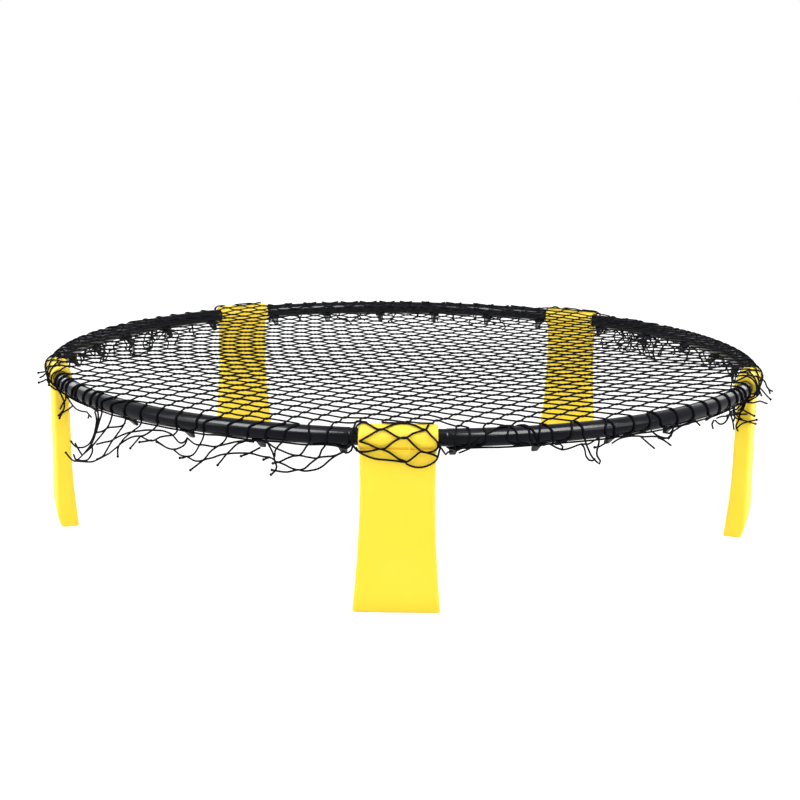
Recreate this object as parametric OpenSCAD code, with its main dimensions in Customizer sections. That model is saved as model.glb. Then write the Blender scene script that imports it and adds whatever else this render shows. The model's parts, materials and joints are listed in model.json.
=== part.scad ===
// Round net set: a level net strained over a ring of five curved tubes.
// Five flat legs carry the ring. Each leg's barrel holds the joint between two tubes,
// and turns on it, so that the leg folds in under the net.
// Millimetres, +Z up, origin on the floor under the ring's centre, first leg towards -Y.

/* [Ring] */
// Radius of the ring's centreline
ring_r = 447; // [370:1:540]
// Height of the ring's centreline above the floor
ring_h = 185; // [150:1:240]
// Outside diameter of a rim tube
tube_d = 19; // [15:0.5:24]
// Wall of a rim tube
tube_wall = 2.5; // [1.5:0.1:3.5]

/* [Joint between two tubes] */
// Step down from the tube to its neck, all round
neck_step = 0.5; // [0.3:0.1:1]
// Length of neck that shows on each side of a leg
neck_gap = 8.5; // [4:0.5:14]
// Wall of the socket neck
neck_wall = 2.4; // [1.5:0.1:3]
// Length of the plug that enters the next tube's socket
plug_l = 34; // [20:1:45]
// Wall of the plug
plug_wall = 2; // [1.2:0.1:2.6]
// Gap all round between plug and socket
plug_clear = 0.05; // [0.02:0.01:0.2]
// Gap between the ends of two necks
butt_gap = 1; // [0.4:0.1:3]

/* [Legs] */
// Length of the barrel that a leg turns on
barrel_l = 80; // [60:1:100]
// Wall of the barrel
barrel_wall = 4.4; // [3:0.1:6]
// Gap all round between barrel and neck
bore_clear = 0.08; // [0.02:0.01:0.1]
// Rounding of the barrel's ends
barrel_round = 1.6; // [1:0.1:3]
// Width of the leg below the barrel
leg_top_w = 78; // [58:1:98]
// Width of the leg at its waist
waist_w = 76; // [56:1:96]
// Height of the waist above the floor
waist_h = 139; // [100:1:145]
// Width of the foot
foot_w = 91; // [60:1:120]
// How far the leg's outer face stands out from the barrel's axis
face_out = 10; // [7:0.5:11]
// How far the leg's inner face stands in from the barrel's axis
face_in = 9; // [6:0.5:10]
// How far the foot's heel swells outward
heel_out = 1.2; // [0:0.1:4]
// Height of the heel's swell above the floor
heel_h = 20; // [12:1:30]
// How far the foot's outer edge turns in below the heel
heel_turn = 4.5; // [0:0.1:8]
// How far the foot's inner face sweeps inward
toe_in = 5; // [0:0.1:10]
// Rounding of the leg's upright edges
edge_round = 4; // [1:0.5:6]
// Rounding of the foot's lower edge
foot_round = 1.5; // [0.5:0.5:3]
// How far the ledge between barrel and leg lies below the barrel's bore
ledge_skin = 1.2; // [0.4:0.1:2.8]
// How far the ledge stands out from the leg's outer face
ledge_out = 1.5; // [0:0.1:2]
// Width of the small web under the barrel
web_w = 1.6; // [1:0.1:3]
// How far the small web stands from the leg's middle
web_at = 11.5; // [0:0.5:25]

/* [Net hooks] */
// Hooks under each tube
hooks_per_tube = 6; // [2:2:6]
// Distance along the ring from a tube's shoulder to the middle of its end hook
hook_end = 8.2; // [7:0.1:20]
// Width of a hook where it leaves the tube
hook_root_w = 12.5; // [7:0.5:14]
// Width of a hook at its tip
hook_tip_w = 7; // [4:0.5:8]
// How far a hook's tip reaches below the tube
hook_drop = 11.5; // [7:0.5:15]
// How far a hook's tip leans in from below the tube's axis
hook_lean = 12; // [6:0.5:16]
// Rounding of a hook's tip
hook_tip_r = 1.6; // [1:0.1:2]

/* [Net] */
// Thickness of the net's cord
cord_d = 1.8; // [1.2:0.1:3]
// Length of one side of a mesh
mesh_bar = 52; // [50:1:90]
// Bearing of the meshes' long axis
mesh_turn = 9; // [0:1:90]
// Angle between a mesh's two sides
mesh_angle = 71; // [50:1:100]
// Gap between the net and the barrels that turn under it
net_clear = 0.4; // [0.3:0.1:1]

/* [Hidden] */
$fn = 64;
LEGS = 5;
STEP = 360 / LEGS;
FIRST_LEG = -90;
OVER = 1;
NEAR = 0.01;

// The straight joint lies on a chord of the ring from shoulder to shoulder.
tube_r = tube_d / 2;
neck_r = tube_r - neck_step;
socket_r = neck_r - neck_wall;
plug_r = socket_r - plug_clear;
bore_r = neck_r + bore_clear;
barrel_r = bore_r + barrel_wall;
shoulder = barrel_l / 2 + neck_gap;
shoulder_deg = asin(shoulder / ring_r);
axis_r = ring_r * cos(shoulder_deg);
neck_root = 3;
bore_root = 2;

// Bearings round the tube's centre at which a hook's outer and inner faces leave it,
// and how far each face stands off the tube there.
HOOK_FROM = -55;
HOOK_TO = -134;
hook_stand_out = 0.3;
hook_stand_in = 2.1;
HOOK_SINK = 3;

// Hooks share out what a tube's arc leaves between its two end hooks.
tube_arc = (STEP - 2 * shoulder_deg) * PI / 180 * ring_r;
hook_pitch = (tube_arc - 2 * hook_end) / (hooks_per_tube - 1);

// The leg's body starts inside the barrel's wall, and its top is a ledge on both sides.
leg_top = ring_h - bore_r - ledge_skin;
LEDGE_DEEP = 6;
LEDGE_STEPS = 4;
FLARE = 1.8;
SWEEP = 1.6;
SWEPT_SHARE = 0.6;
EDGE_STEPS = 4;
FOOT_STEPS = 2;

// Levels of the leg's body above the foot: each stands this many times as high as the one below.
LEVELS = 9;
LEVEL_GROWTH = 1.52;
level_low = 0.2 * heel_h;

// The small web bridges the gap between the ledge and the barrel, a little past the ledge,
// and runs a little into both.
WEB_PAST = 0.3;
WEB_SINK = 0.6;

// The net lies on the tubes' crests, with a notch in its edge round each barrel.
net_z = ring_h + tube_r;
cord_h = cord_d / 2;
mesh_pitch = mesh_bar * sin(mesh_angle);
mesh_lines = ceil(ring_r / mesh_pitch);
notch_x = axis_r - sqrt(pow(barrel_r + net_clear + cord_d, 2) - pow(tube_r, 2)) - NEAR;
NOTCH_MARGIN = 1;
notch_w = barrel_l / 2 + cord_d + NOTCH_MARGIN;
MESH_SIDES = [-1, 1];
// Cords further out than this share of the ring's radius would be too short to hold.
LAST_CORD = 0.97;

// Bearings round a rod's axis between which a cord lies on it, 90 being its crest.
WRAP_FROM = 91;
WRAP_TO = -108;
WRAP_TO_HOOK = HOOK_FROM + 7;
WRAP_STEPS = 8;
BARREL_FROM = 126;
BARREL_TO = -28;
BARREL_STEPS = 6;

function leg_bearing(k) = FIRST_LEG + STEP * k;

// ---- Rim tubes ----------------------------------------------------------

// A cylinder along the joint's axis, from y0 to y1, beside the leg on +X.
module joint_rod(r, y0, y1) {
    translate([axis_r, y0, ring_h])
        rotate([-90, 0, 0])
            cylinder(r = r, h = y1 - y0);
}

module ring_arc(r) {
    translate([0, 0, ring_h])
        rotate([0, 0, shoulder_deg])
            rotate_extrude(angle = STEP - 2 * shoulder_deg, $fn = 180)
                translate([ring_r, 0])
                    circle(r = r);
}

function polar(r, bearing) = r * [cos(bearing), sin(bearing)];

// Side view of a hook, tube's centre at the origin, outward to +X.
module hook_profile() {
    tip = [-hook_lean, -tube_r - hook_drop + hook_tip_r];
    root_r = tube_r - tube_wall / 2;
    polygon([
        polar(root_r, HOOK_FROM - HOOK_SINK),
        polar(tube_r + hook_stand_out, HOOK_FROM),
        tip + polar(hook_tip_r, -45),
        tip + polar(hook_tip_r, 135),
        polar(tube_r + hook_stand_in, HOOK_TO),
        polar(root_r, HOOK_TO - HOOK_SINK)
    ]);
    translate(tip)
        circle(r = hook_tip_r);
}

// Front view of a hook, which narrows towards its tip.
module hook_outline() {
    polygon([
        [-hook_root_w / 2, OVER - tube_r / 2],
        [hook_root_w / 2, OVER - tube_r / 2],
        [hook_root_w / 2, -tube_r],
        [hook_tip_w / 2, -tube_r - hook_drop],
        [-hook_tip_w / 2, -tube_r - hook_drop],
        [-hook_root_w / 2, -tube_r]
    ]);
}

module hook() {
    intersection() {
        rotate([90, 0, 0])
            linear_extrude(height = hook_root_w, center = true)
                hook_profile();
        rotate([90, 0, 90])
            linear_extrude(height = 4 * tube_r, center = true)
                hook_outline();
    }
}

module hooks() {
    for (i = [0 : hooks_per_tube - 1]) {
        arc = (i - (hooks_per_tube - 1) / 2) * hook_pitch;
        rotate([0, 0, STEP / 2 + arc / ring_r * 180 / PI])
            translate([ring_r, 0, ring_h])
                hook();
    }
}

// A tube runs from the leg at its start, where its socket is, to the next leg,
// where its plug goes through the barrel's middle into the next tube's socket.
module rim_tube(k) {
    color("#25262b")
        rotate([0, 0, leg_bearing(k)])
            difference() {
                union() {
                    ring_arc(tube_r);
                    joint_rod(neck_r, butt_gap / 2, shoulder + neck_root);
                    rotate([0, 0, STEP]) {
                        joint_rod(neck_r, -shoulder - neck_root, -butt_gap / 2);
                        joint_rod(plug_r, -butt_gap, plug_l);
                    }
                    hooks();
                }
                ring_arc(tube_r - tube_wall);
                joint_rod(socket_r, -OVER, shoulder + bore_root);
                rotate([0, 0, STEP])
                    joint_rod(plug_r - plug_wall, -shoulder - bore_root, plug_l + OVER);
            }
}

// ---- Legs ---------------------------------------------------------------

// Half of the leg's width at a height.
function leg_half_w(z) =
    z < waist_h
        ? waist_w / 2 + (foot_w - waist_w) / 2 * pow(1 - z / waist_h, FLARE)
        : waist_w / 2 + (leg_top_w - waist_w) / 2 * (z - waist_h) / (leg_top - waist_h);

// How far the outer face comes forward towards the ledge at a height.
function ledge_at(z) = ledge_out * pow(max(0, 1 - (leg_top - z) / LEDGE_DEEP), 2);

// Where the outer face stands at a height: the ledge, a slow swell to the heel, then the turn in.
function leg_out(z) =
    z < heel_h
        ? face_out + heel_out - heel_turn * pow(1 - z / heel_h, 2)
        : face_out + heel_out * pow(max(0, 1 - (z - heel_h) / (waist_h - heel_h)), 2) + ledge_at(z);

// Where the inner face stands at a height: straight, then swept in towards the toe.
function leg_in(z) = -face_in - toe_in * pow(max(0, 1 - z / (SWEPT_SHARE * waist_h)), SWEEP);

// One level of the leg's body: a rectangle with rounded corners.
function leg_ring(z, inset) =
    let (
        x0 = leg_in(z) + inset,
        x1 = leg_out(z) - inset,
        w = leg_half_w(z) - inset,
        r = edge_round - inset,
        corners = [[x1 - r, w - r, 0], [x0 + r, w - r, 90], [x0 + r, r - w, 180], [x1 - r, r - w, 270]]
    )
    [
        for (c = corners)
            for (i = [0 : EDGE_STEPS])
                let (a = c[2] + 90 * i / EDGE_STEPS)
                [c[0] + r * cos(a), c[1] + r * sin(a), z]
    ];

// A closed solid of triangles through rings of points that all have the same count.
module loft(rings) {
    n = len(rings[0]);
    last = len(rings) - 1;
    sides = [
        for (j = [0 : last - 1])
            for (i = [0 : n - 1])
                let (a = j * n + i, b = j * n + (i + 1) % n)
                each [[a, a + n, b], [b, a + n, b + n]]
    ];
    bottom = [for (i = [1 : n - 2]) [0, i, i + 1]];
    top = [for (i = [1 : n - 2]) [last * n, last * n + i + 1, last * n + i]];
    polyhedron(points = [for (r = rings) each r], faces = concat(sides, bottom, top), convexity = 4);
}

module leg_body() {
    foot = [
        for (i = [0 : FOOT_STEPS])
            let (a = 90 * i / FOOT_STEPS)
            leg_ring(foot_round * (1 - cos(a)), foot_round * (1 - sin(a)))
    ];
    shank = [for (i = [0 : LEVELS - 1]) leg_ring(level_low * pow(LEVEL_GROWTH, i), 0)];
    ledge = [for (i = [0 : LEDGE_STEPS]) leg_ring(leg_top - LEDGE_DEEP * (1 - i / LEDGE_STEPS), 0)];
    translate([axis_r, 0, 0])
        loft(concat(foot, shank, [leg_ring(waist_h, 0)], ledge));
}

module barrel_half_profile() {
    half = barrel_l / 2;
    difference() {
        translate([0, -half])
            square([barrel_r, barrel_l]);
        for (end = [-1, 1])
            translate([barrel_r - barrel_round, end * (half - barrel_round)])
                difference() {
                    translate([0, end > 0 ? 0 : -barrel_round - OVER])
                        square([barrel_round + OVER, barrel_round + OVER]);
                    circle(r = barrel_round);
                }
    }
}

module barrel() {
    translate([axis_r, 0, ring_h])
        rotate([-90, 0, 0])
            rotate_extrude($fn = 96)
                barrel_half_profile();
}

// The small upright web in the gap between the barrel and the ledge.
module ledge_web() {
    reach = face_out + ledge_out + WEB_PAST;
    barrel_drop = sqrt(max(0, pow(barrel_r, 2) - pow(reach, 2)));
    gap = ring_h - barrel_drop - leg_top;
    translate([axis_r, web_at - web_w / 2, leg_top - WEB_SINK])
        cube([reach, web_w, gap + 2 * WEB_SINK]);
}

module leg(k) {
    color("#f6e63f")
        rotate([0, 0, leg_bearing(k)])
            difference() {
                union() {
                    barrel();
                    leg_body();
                    ledge_web();
                }
                joint_rod(bore_r, -barrel_l / 2 - OVER, barrel_l / 2 + OVER);
            }
}

// ---- Net ----------------------------------------------------------------

function cord_bearing(side) = mesh_turn + side * mesh_angle / 2;
function cord_offset(i) = (i + 0.5) * mesh_pitch;

// The point at s along cord i of one of the two families.
function cord_point(side, i, s) =
    let (b = cord_bearing(side), c = cord_offset(i))
    [s * cos(b) - c * sin(b), s * sin(b) + c * cos(b)];

// Where a cord lies over leg k's notch, as its start and end along the cord.
function notch_span(side, i, k) =
    let (
        turn = cord_bearing(side) - leg_bearing(k),
        c = cord_offset(i),
        sx = cos(turn),
        enter = (notch_x + c * sin(turn)) / sx,
        t0 = (-notch_w - c * cos(turn)) / sin(turn),
        t1 = (notch_w - c * cos(turn)) / sin(turn),
        low = min(t0, t1),
        high = max(t0, t1)
    )
    sx > 0 ? [max(low, enter), high] : [low, min(high, enter)];

// Stretches that are left of a cord once a span is taken out of it.
function without(stretches, span) = [
    for (s = stretches)
        each span[0] >= span[1] || span[0] >= s[1] || span[1] <= s[0]
            ? [s]
            : [for (rest = [[s[0], span[0]], [span[1], s[1]]]) if (rest[1] - rest[0] > cord_d) rest]
];

function without_notches(stretches, side, i, k = 0) =
    k == LEGS
        ? stretches
        : without_notches(without(stretches, notch_span(side, i, k)), side, i, k + 1);

// A stretch belongs to the net only where it is knotted to a cord of the other family.
function is_knotted(side, i, s) =
    let (
        along = [for (end = s) (cord_offset(i) * cos(mesh_angle) + end * side * sin(mesh_angle)) / mesh_pitch - 0.5]
    )
    floor(max(along)) >= ceil(min(along));

function stretches(side, i) =
    let (c = cord_offset(i))
    abs(c) > LAST_CORD * ring_r
        ? []
        : let (half = sqrt(ring_r * ring_r - c * c))
          [for (s = without_notches([[-half, half]], side, i)) if (is_knotted(side, i, s)) s];

module net_flat() {
    intersection() {
        circle(r = ring_r, $fn = 180);
        for (side = MESH_SIDES)
            for (i = [-mesh_lines : mesh_lines])
                for (s = stretches(side, i))
                    rotate(cord_bearing(side))
                        translate([s[0], cord_offset(i) - cord_h])
                            square([s[1] - s[0], cord_d]);
    }
}

module net() {
    color("#17181c")
        translate([0, 0, net_z])
            linear_extrude(height = cord_d)
                net_flat();
}

// The four corners of a cord whose inner side is at p and whose outer side is at q.
function cord_ring(p, q) = [for (c = [[p, -1], [q, -1], [q, 1], [p, 1]]) [c[0][0], c[1] * cord_h, c[0][1]]];

// A square cord bent round a rod of radius r that lies along Y at the origin,
// from bearing a0 to a1 in the XZ plane, its flats just clear of the rod.
module wrap(r, a0, a1, steps, lead = []) {
    da = (a1 - a0) / steps;
    inner = r / cos(da / 2);
    bend = [
        for (i = [0 : steps])
            let (way = [cos(a0 + i * da), sin(a0 + i * da)])
            cord_ring(inner * way, (inner + cord_d) * way)
    ];
    loft(concat(lead, bend));
}

// A bearing counted from the nearest leg.
function from_leg(bearing) =
    let (turn = bearing - FIRST_LEG + STEP / 2)
    turn - STEP * floor(turn / STEP) - STEP / 2;

// How far along the ring a bearing lies from the nearest hook.
function hook_offset(bearing) =
    let (
        rel = from_leg(bearing),
        arc = (rel - STEP / 2 * sign(rel)) * PI / 180 * ring_r,
        last = (hooks_per_tube - 1) / 2,
        near = max(-last, min(last, round(arc / hook_pitch - 0.5) + 0.5))
    )
    abs(arc - near * hook_pitch);

// The values that keep a gap from all the values before them.
function spaced(values, gap) = [
    for (i = [0 : 1 : len(values) - 1])
        if (len([for (j = [0 : 1 : i - 1]) if (abs(values[i] - values[j]) < gap) j]) == 0)
            values[i]
];

// Both ends of every stretch of cord, and where they reach a tube or a leg's barrel.
function cord_ends() = [
    for (side = MESH_SIDES)
        for (i = [-mesh_lines : mesh_lines])
            for (s = stretches(side, i))
                for (end = s)
                    cord_point(side, i, end)
];

function tube_bearings() = [for (p = cord_ends()) if (norm(p) > ring_r - NEAR) atan2(p[1], p[0])];

function barrel_places(k) = [
    for (p = cord_ends())
        let (turn = atan2(p[1], p[0]) - leg_bearing(k), y = norm(p) * sin(turn))
        if (abs(norm(p) * cos(turn) - notch_x) < NEAR && abs(y) < barrel_l / 2 - cord_d)
            y
];

// A cord that reaches a tube goes over its crest and under it, or stops above a hook.
module cord_over_tube(bearing) {
    by_hook = hook_offset(bearing) < hook_root_w / 2 + cord_d;
    rotate([0, 0, bearing])
        translate([ring_r, 0, ring_h])
            wrap(tube_r, WRAP_FROM, by_hook ? WRAP_TO_HOOK : WRAP_TO, WRAP_STEPS);
}

// A cord that reaches a barrel goes over it, clear of it, and ends on its outside.
module cord_over_barrel(k, y) {
    from_net = cord_ring([notch_x - axis_r, tube_r], [notch_x - axis_r, tube_r + cord_d]);
    rotate([0, 0, leg_bearing(k)])
        translate([axis_r, y, ring_h])
            wrap(barrel_r + net_clear, BARREL_FROM, BARREL_TO, BARREL_STEPS, [from_net]);
}

module net_edge() {
    color("#17181c") {
        for (bearing = spaced(tube_bearings(), 2 * cord_d / ring_r * 180 / PI))
            cord_over_tube(bearing);
        for (k = [0 : LEGS - 1])
            for (y = spaced(barrel_places(k), 2 * cord_d))
                cord_over_barrel(k, y);
    }
}

rim_tube(0);  // rim_tube_1
rim_tube(1);  // rim_tube_2
rim_tube(2);  // rim_tube_3
rim_tube(3);  // rim_tube_4
rim_tube(4);  // rim_tube_5
leg(0);  // leg_1
leg(1);  // leg_2
leg(2);  // leg_3
leg(3);  // leg_4
leg(4);  // leg_5
net();
net_edge();
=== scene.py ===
"""The looks of a round net set: a net strained over a ring of black tubes on five yellow legs.

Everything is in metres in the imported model's own frame: +Z up, the floor at zero, the ring round
the Z axis and the first leg towards -Y. Bearings are in radians, counterclockwise from +X. Only the
net's loose edge is laid out in millimetres, along the rim and down from its crest.
"""

import json
import logging
import math
from collections.abc import Iterable
from dataclasses import dataclass, field, replace
from enum import Enum

import bmesh
import bpy
import numpy as np
from mathutils import Matrix, Vector

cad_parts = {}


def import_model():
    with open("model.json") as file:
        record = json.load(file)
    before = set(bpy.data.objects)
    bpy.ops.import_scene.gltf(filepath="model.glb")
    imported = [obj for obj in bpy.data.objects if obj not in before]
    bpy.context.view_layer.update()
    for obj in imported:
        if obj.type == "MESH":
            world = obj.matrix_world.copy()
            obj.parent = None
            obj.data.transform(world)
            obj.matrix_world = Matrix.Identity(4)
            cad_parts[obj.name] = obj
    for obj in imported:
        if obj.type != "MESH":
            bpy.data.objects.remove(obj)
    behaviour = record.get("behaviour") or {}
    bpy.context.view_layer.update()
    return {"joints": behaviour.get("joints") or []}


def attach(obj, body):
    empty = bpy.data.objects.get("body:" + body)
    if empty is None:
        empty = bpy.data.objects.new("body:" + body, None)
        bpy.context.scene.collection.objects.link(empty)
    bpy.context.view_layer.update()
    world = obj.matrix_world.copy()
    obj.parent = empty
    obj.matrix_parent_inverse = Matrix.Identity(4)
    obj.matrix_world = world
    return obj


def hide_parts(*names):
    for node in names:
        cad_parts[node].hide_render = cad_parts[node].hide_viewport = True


LOG = logging.getLogger("round_net_set")
MM = 0.001
TURN = 2 * math.pi
LEGS = 5
STEP = TURN / LEGS
FIRST_LEG = -math.pi / 2
UP = np.array([0.0, 0.0, 1.0])

Colour = tuple[float, float, float]
Route = list[tuple[float, ...]]
Lattice = dict[tuple[int, int], np.ndarray]


class Body(Enum):
    """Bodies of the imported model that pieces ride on."""

    RING = "ring"
    LEG = "leg_{}"


class Slot(Enum):
    """Material slots of the record."""

    RIM = "rim_plastic"
    LEG = "leg_plastic"
    NET = "net_cord"


# ---- Small helpers --------------------------------------------------------


def smooth(x: np.ndarray | float) -> np.ndarray | float:
    """Eases from 0 to 1 as x goes from 0 to 1.

    Args:
        x: Where along the way, clipped to 0 to 1.

    Returns:
        The eased share.
    """
    t = np.clip(x, 0.0, 1.0)
    return t * t * (3 - 2 * t)


def spline(points: np.ndarray, spacing: float) -> np.ndarray:
    """Runs a Catmull-Rom curve through points and spaces rings along it.

    Args:
        points: Control points, as an array of (n, 3).
        spacing: Greatest distance between two of the returned points.

    Returns:
        Points along the curve, as an array of (m, 3).
    """
    p = np.asarray(points, float)
    padded = np.vstack([2 * p[0] - p[1], p, 2 * p[-1] - p[-2]])
    pieces = []
    for k in range(len(p) - 1):
        p0, p1, p2, p3 = padded[k : k + 4]
        count = max(2, math.ceil(np.linalg.norm(p2 - p1) / spacing) + 1)
        t = np.linspace(0, 1, count)[:-1, None]
        pieces.append(
            0.5 * (2 * p1 + (p2 - p0) * t + (2 * p0 - 5 * p1 + 4 * p2 - p3) * t**2
                   + (3 * p1 - p0 - 3 * p2 + p3) * t**3)
        )
    pieces.append(p[-1:])
    return np.vstack(pieces)


def level_ways(bearing: float) -> tuple[np.ndarray, np.ndarray]:
    """The level ways at a bearing.

    Args:
        bearing: Where round the ring.

    Returns:
        The way outward and the way along the rim, both of length 1.
    """
    out = np.array([math.cos(bearing), math.sin(bearing), 0.0])
    return out, np.array([-out[1], out[0], 0.0])


class MeshPile:
    """Gathers the points and faces of one piece's mesh."""

    def __init__(self) -> None:
        """Starts an empty pile."""
        self.points: list[np.ndarray] = []
        self.faces: list[list[int]] = []
        self.uvs: list[tuple[float, float]] = []
        self.count = 0

    def loft(self, rings: np.ndarray, along: np.ndarray | None = None, caps: bool = True) -> None:
        """Adds a skin over rings of points that all have the same count.

        Args:
            rings: An array of (rings, points, 3).
            along: How far along the piece each ring lies, for its UV map.
            caps: Whether to close both ends.
        """
        n, m = rings.shape[:2]
        first = self.count
        along = np.linspace(0, 1, n) if along is None else along
        self.points.append(rings.reshape(-1, 3))
        self.count += n * m
        for j in range(n - 1):
            low, high = first + j * m, first + (j + 1) * m
            for i in range(m):
                k = (i + 1) % m
                self.faces.append([low + i, low + k, high + k, high + i])
                u0, u1 = i / m, (i + 1) / m
                self.uvs += [(u0, along[j]), (u1, along[j]), (u1, along[j + 1]), (u0, along[j + 1])]
        if caps:
            for base, order in ((first, range(m - 1, -1, -1)), (first + (n - 1) * m, range(m))):
                self.faces.append([base + i for i in order])
                self.uvs += [(i / m, 0.0) for i in range(m)]

    def knot(self, middle: np.ndarray, radius: float, sides: int = 8, levels: int = 6) -> None:
        """Adds a small round knot.

        Args:
            middle: Its middle.
            radius: Half of its thickness.
            sides: Points on each of its rings.
            levels: Its number of rings, from near one pole to near the other.
        """
        pole = 0.3
        turn = np.linspace(0, TURN, sides, endpoint=False)
        circle = np.stack([np.cos(turn), np.sin(turn), np.zeros(sides)], 1)
        rings = [
            middle + radius * (math.sin(a) * circle + math.cos(a) * UP)
            for a in np.linspace(pole, math.pi - pole, levels)
        ]
        self.loft(np.array(rings)[::-1])

    def mesh(self, name: str, sharp: float) -> bpy.types.Mesh:
        """Makes the mesh.

        Args:
            name: The mesh's name.
            sharp: Edges that fold more than this, in degrees, stay sharp.

        Returns:
            The mesh, shaded smooth, with the UV map "Along".
        """
        made = bpy.data.meshes.new(name)
        made.from_pydata(np.vstack(self.points).tolist(), [], self.faces)
        made.update()
        layer = made.uv_layers.new(name="Along")
        layer.uv.foreach_set("vector", np.array(self.uvs, np.float32).ravel())
        solid = bmesh.new()
        solid.from_mesh(made)
        bmesh.ops.recalc_face_normals(solid, faces=solid.faces)
        solid.to_mesh(made)
        solid.free()
        made.shade_smooth()
        made.set_sharp_from_angle(angle=math.radians(sharp))
        return made


def show(name: str, mesh: bpy.types.Mesh, material: bpy.types.Material) -> bpy.types.Object:
    """Puts a mesh into the scene.

    Args:
        name: The object's name.
        mesh: Its mesh.
        material: Its finish.

    Returns:
        The new object.
    """
    made = bpy.data.objects.new(name, mesh)
    mesh.materials.clear()
    mesh.materials.append(material)
    bpy.context.scene.collection.objects.link(made)
    return made


# ---- Finishes ---------------------------------------------------------------


@dataclass
class NodeDesk:
    """A material's node tree with short ways to add to it."""

    material: bpy.types.Material
    shader: bpy.types.Node = field(init=False)

    def __post_init__(self) -> None:
        """Finds the material's main shader."""
        self.material.use_nodes = True
        self.shader = self.material.node_tree.nodes["Principled BSDF"]

    def add(self, kind: str, **values: object) -> bpy.types.Node:
        """Adds a node.

        Args:
            kind: The node's type.
            values: Properties of the node, or default values of its inputs where the key is one.

        Returns:
            The new node.
        """
        node = self.material.node_tree.nodes.new(kind)
        for key, value in values.items():
            if hasattr(node, key):
                setattr(node, key, value)
            else:
                node.inputs[key.replace("_", " ")].default_value = value
        return node

    def join(self, out: bpy.types.NodeSocket, into: bpy.types.NodeSocket) -> None:
        """Links one socket to another."""
        self.material.node_tree.links.new(out, into)

    def set(self, name: str, value: float | Colour) -> None:
        """Sets an input of the main shader."""
        self.shader.inputs[name].default_value = value

    def noise(self, where: bpy.types.NodeSocket, scale: float, detail: float) -> bpy.types.NodeSocket:
        """Adds a noise pattern.

        Args:
            where: The coordinates it is drawn in.
            scale: Its number of spots in a metre.
            detail: Its octaves.

        Returns:
            The noise, from 0 to 1.
        """
        node = self.add("ShaderNodeTexNoise", Scale=scale, Detail=detail)
        self.join(where, node.inputs["Vector"])
        return node.outputs["Fac"]

    def between(
        self,
        share: bpy.types.NodeSocket,
        low: float,
        high: float,
        from_low: float = 0.3,
        from_high: float = 0.7,
    ) -> bpy.types.NodeSocket:
        """Spreads a pattern over a range.

        Args:
            share: The pattern.
            low: Value at the pattern's lower end.
            high: Value at its upper end.
            from_low: The pattern's lower end.
            from_high: The pattern's upper end.

        Returns:
            The spread value.
        """
        node = self.add("ShaderNodeMapRange")
        ends = {"From Min": from_low, "From Max": from_high, "To Min": low, "To Max": high}
        for key, value in ends.items():
            node.inputs[key].default_value = value
        self.join(share, node.inputs["Value"])
        return node.outputs["Result"]

    def mix(self, share: bpy.types.NodeSocket, first: Colour, second: Colour) -> bpy.types.NodeSocket:
        """Mixes two colours by a pattern.

        Args:
            share: The pattern.
            first: The colour where it is 0.
            second: The colour where it is 1.

        Returns:
            The mixed colour.
        """
        node = self.add("ShaderNodeMix", data_type="RGBA")
        colours = [s for s in node.inputs if s.type == "RGBA"]
        colours[0].default_value, colours[1].default_value = (*first, 1), (*second, 1)
        self.join(share, node.inputs[0])
        return [s for s in node.outputs if s.type == "RGBA"][0]

    def bump(self, height: bpy.types.NodeSocket, depth: float) -> None:
        """Raises the surface by a pattern, over any bump before it.

        Args:
            height: The pattern.
            depth: How far the surface rises from the pattern's 0 to its 1.
        """
        node = self.add("ShaderNodeBump", Distance=depth)
        self.join(height, node.inputs["Height"])
        normal = self.shader.inputs["Normal"]
        if normal.is_linked:
            self.join(normal.links[0].from_socket, node.inputs["Normal"])
        self.join(node.outputs["Normal"], normal)


@dataclass(frozen=True)
class MouldedPlastic:
    """Moulded plastic: a body colour with slow shifts, a fine grain and faint rubbed patches.

    Each pattern is given as its spots in a metre and its octaves.
    """

    name: str
    colour: Colour
    rubbed: Colour
    rough_low: float
    rough_high: float
    grain: float
    gloss: float = 0.09
    subsurface: float = 0.0
    subsurface_tint: Colour = (1.0, 0.75, 0.1)
    subsurface_deep: float = 3 * MM
    refraction: float = 1.5
    patches: tuple[float, float] = (23.0, 5.0)
    patch_range: tuple[float, float] = (0.35, 0.75)
    rough_spots: tuple[float, float] = (61.0, 4.0)
    fine_grain: tuple[float, float] = (2400.0, 2.0)
    slow_grain: tuple[float, float] = (90.0, 1.0)

    def build(self) -> bpy.types.Material:
        """Makes the finish.

        Returns:
            The material.
        """
        desk = NodeDesk(bpy.data.materials.new(self.name))
        where = desk.add("ShaderNodeTexCoord").outputs["Object"]
        patches = desk.between(desk.noise(where, *self.patches), 0.0, 1.0, *self.patch_range)
        desk.join(desk.mix(patches, self.colour, self.rubbed), desk.shader.inputs["Base Color"])
        rough = desk.between(desk.noise(where, *self.rough_spots), self.rough_low, self.rough_high)
        desk.join(rough, desk.shader.inputs["Roughness"])
        desk.set("IOR", self.refraction)
        desk.set("Specular IOR Level", self.gloss)
        if self.subsurface:
            desk.set("Subsurface Weight", self.subsurface)
            desk.set("Subsurface Radius", self.subsurface_tint)
            desk.set("Subsurface Scale", self.subsurface_deep)
        desk.bump(desk.noise(where, *self.fine_grain), self.grain)
        desk.bump(desk.noise(where, *self.slow_grain), 2 * self.grain)
        return desk.material


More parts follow.
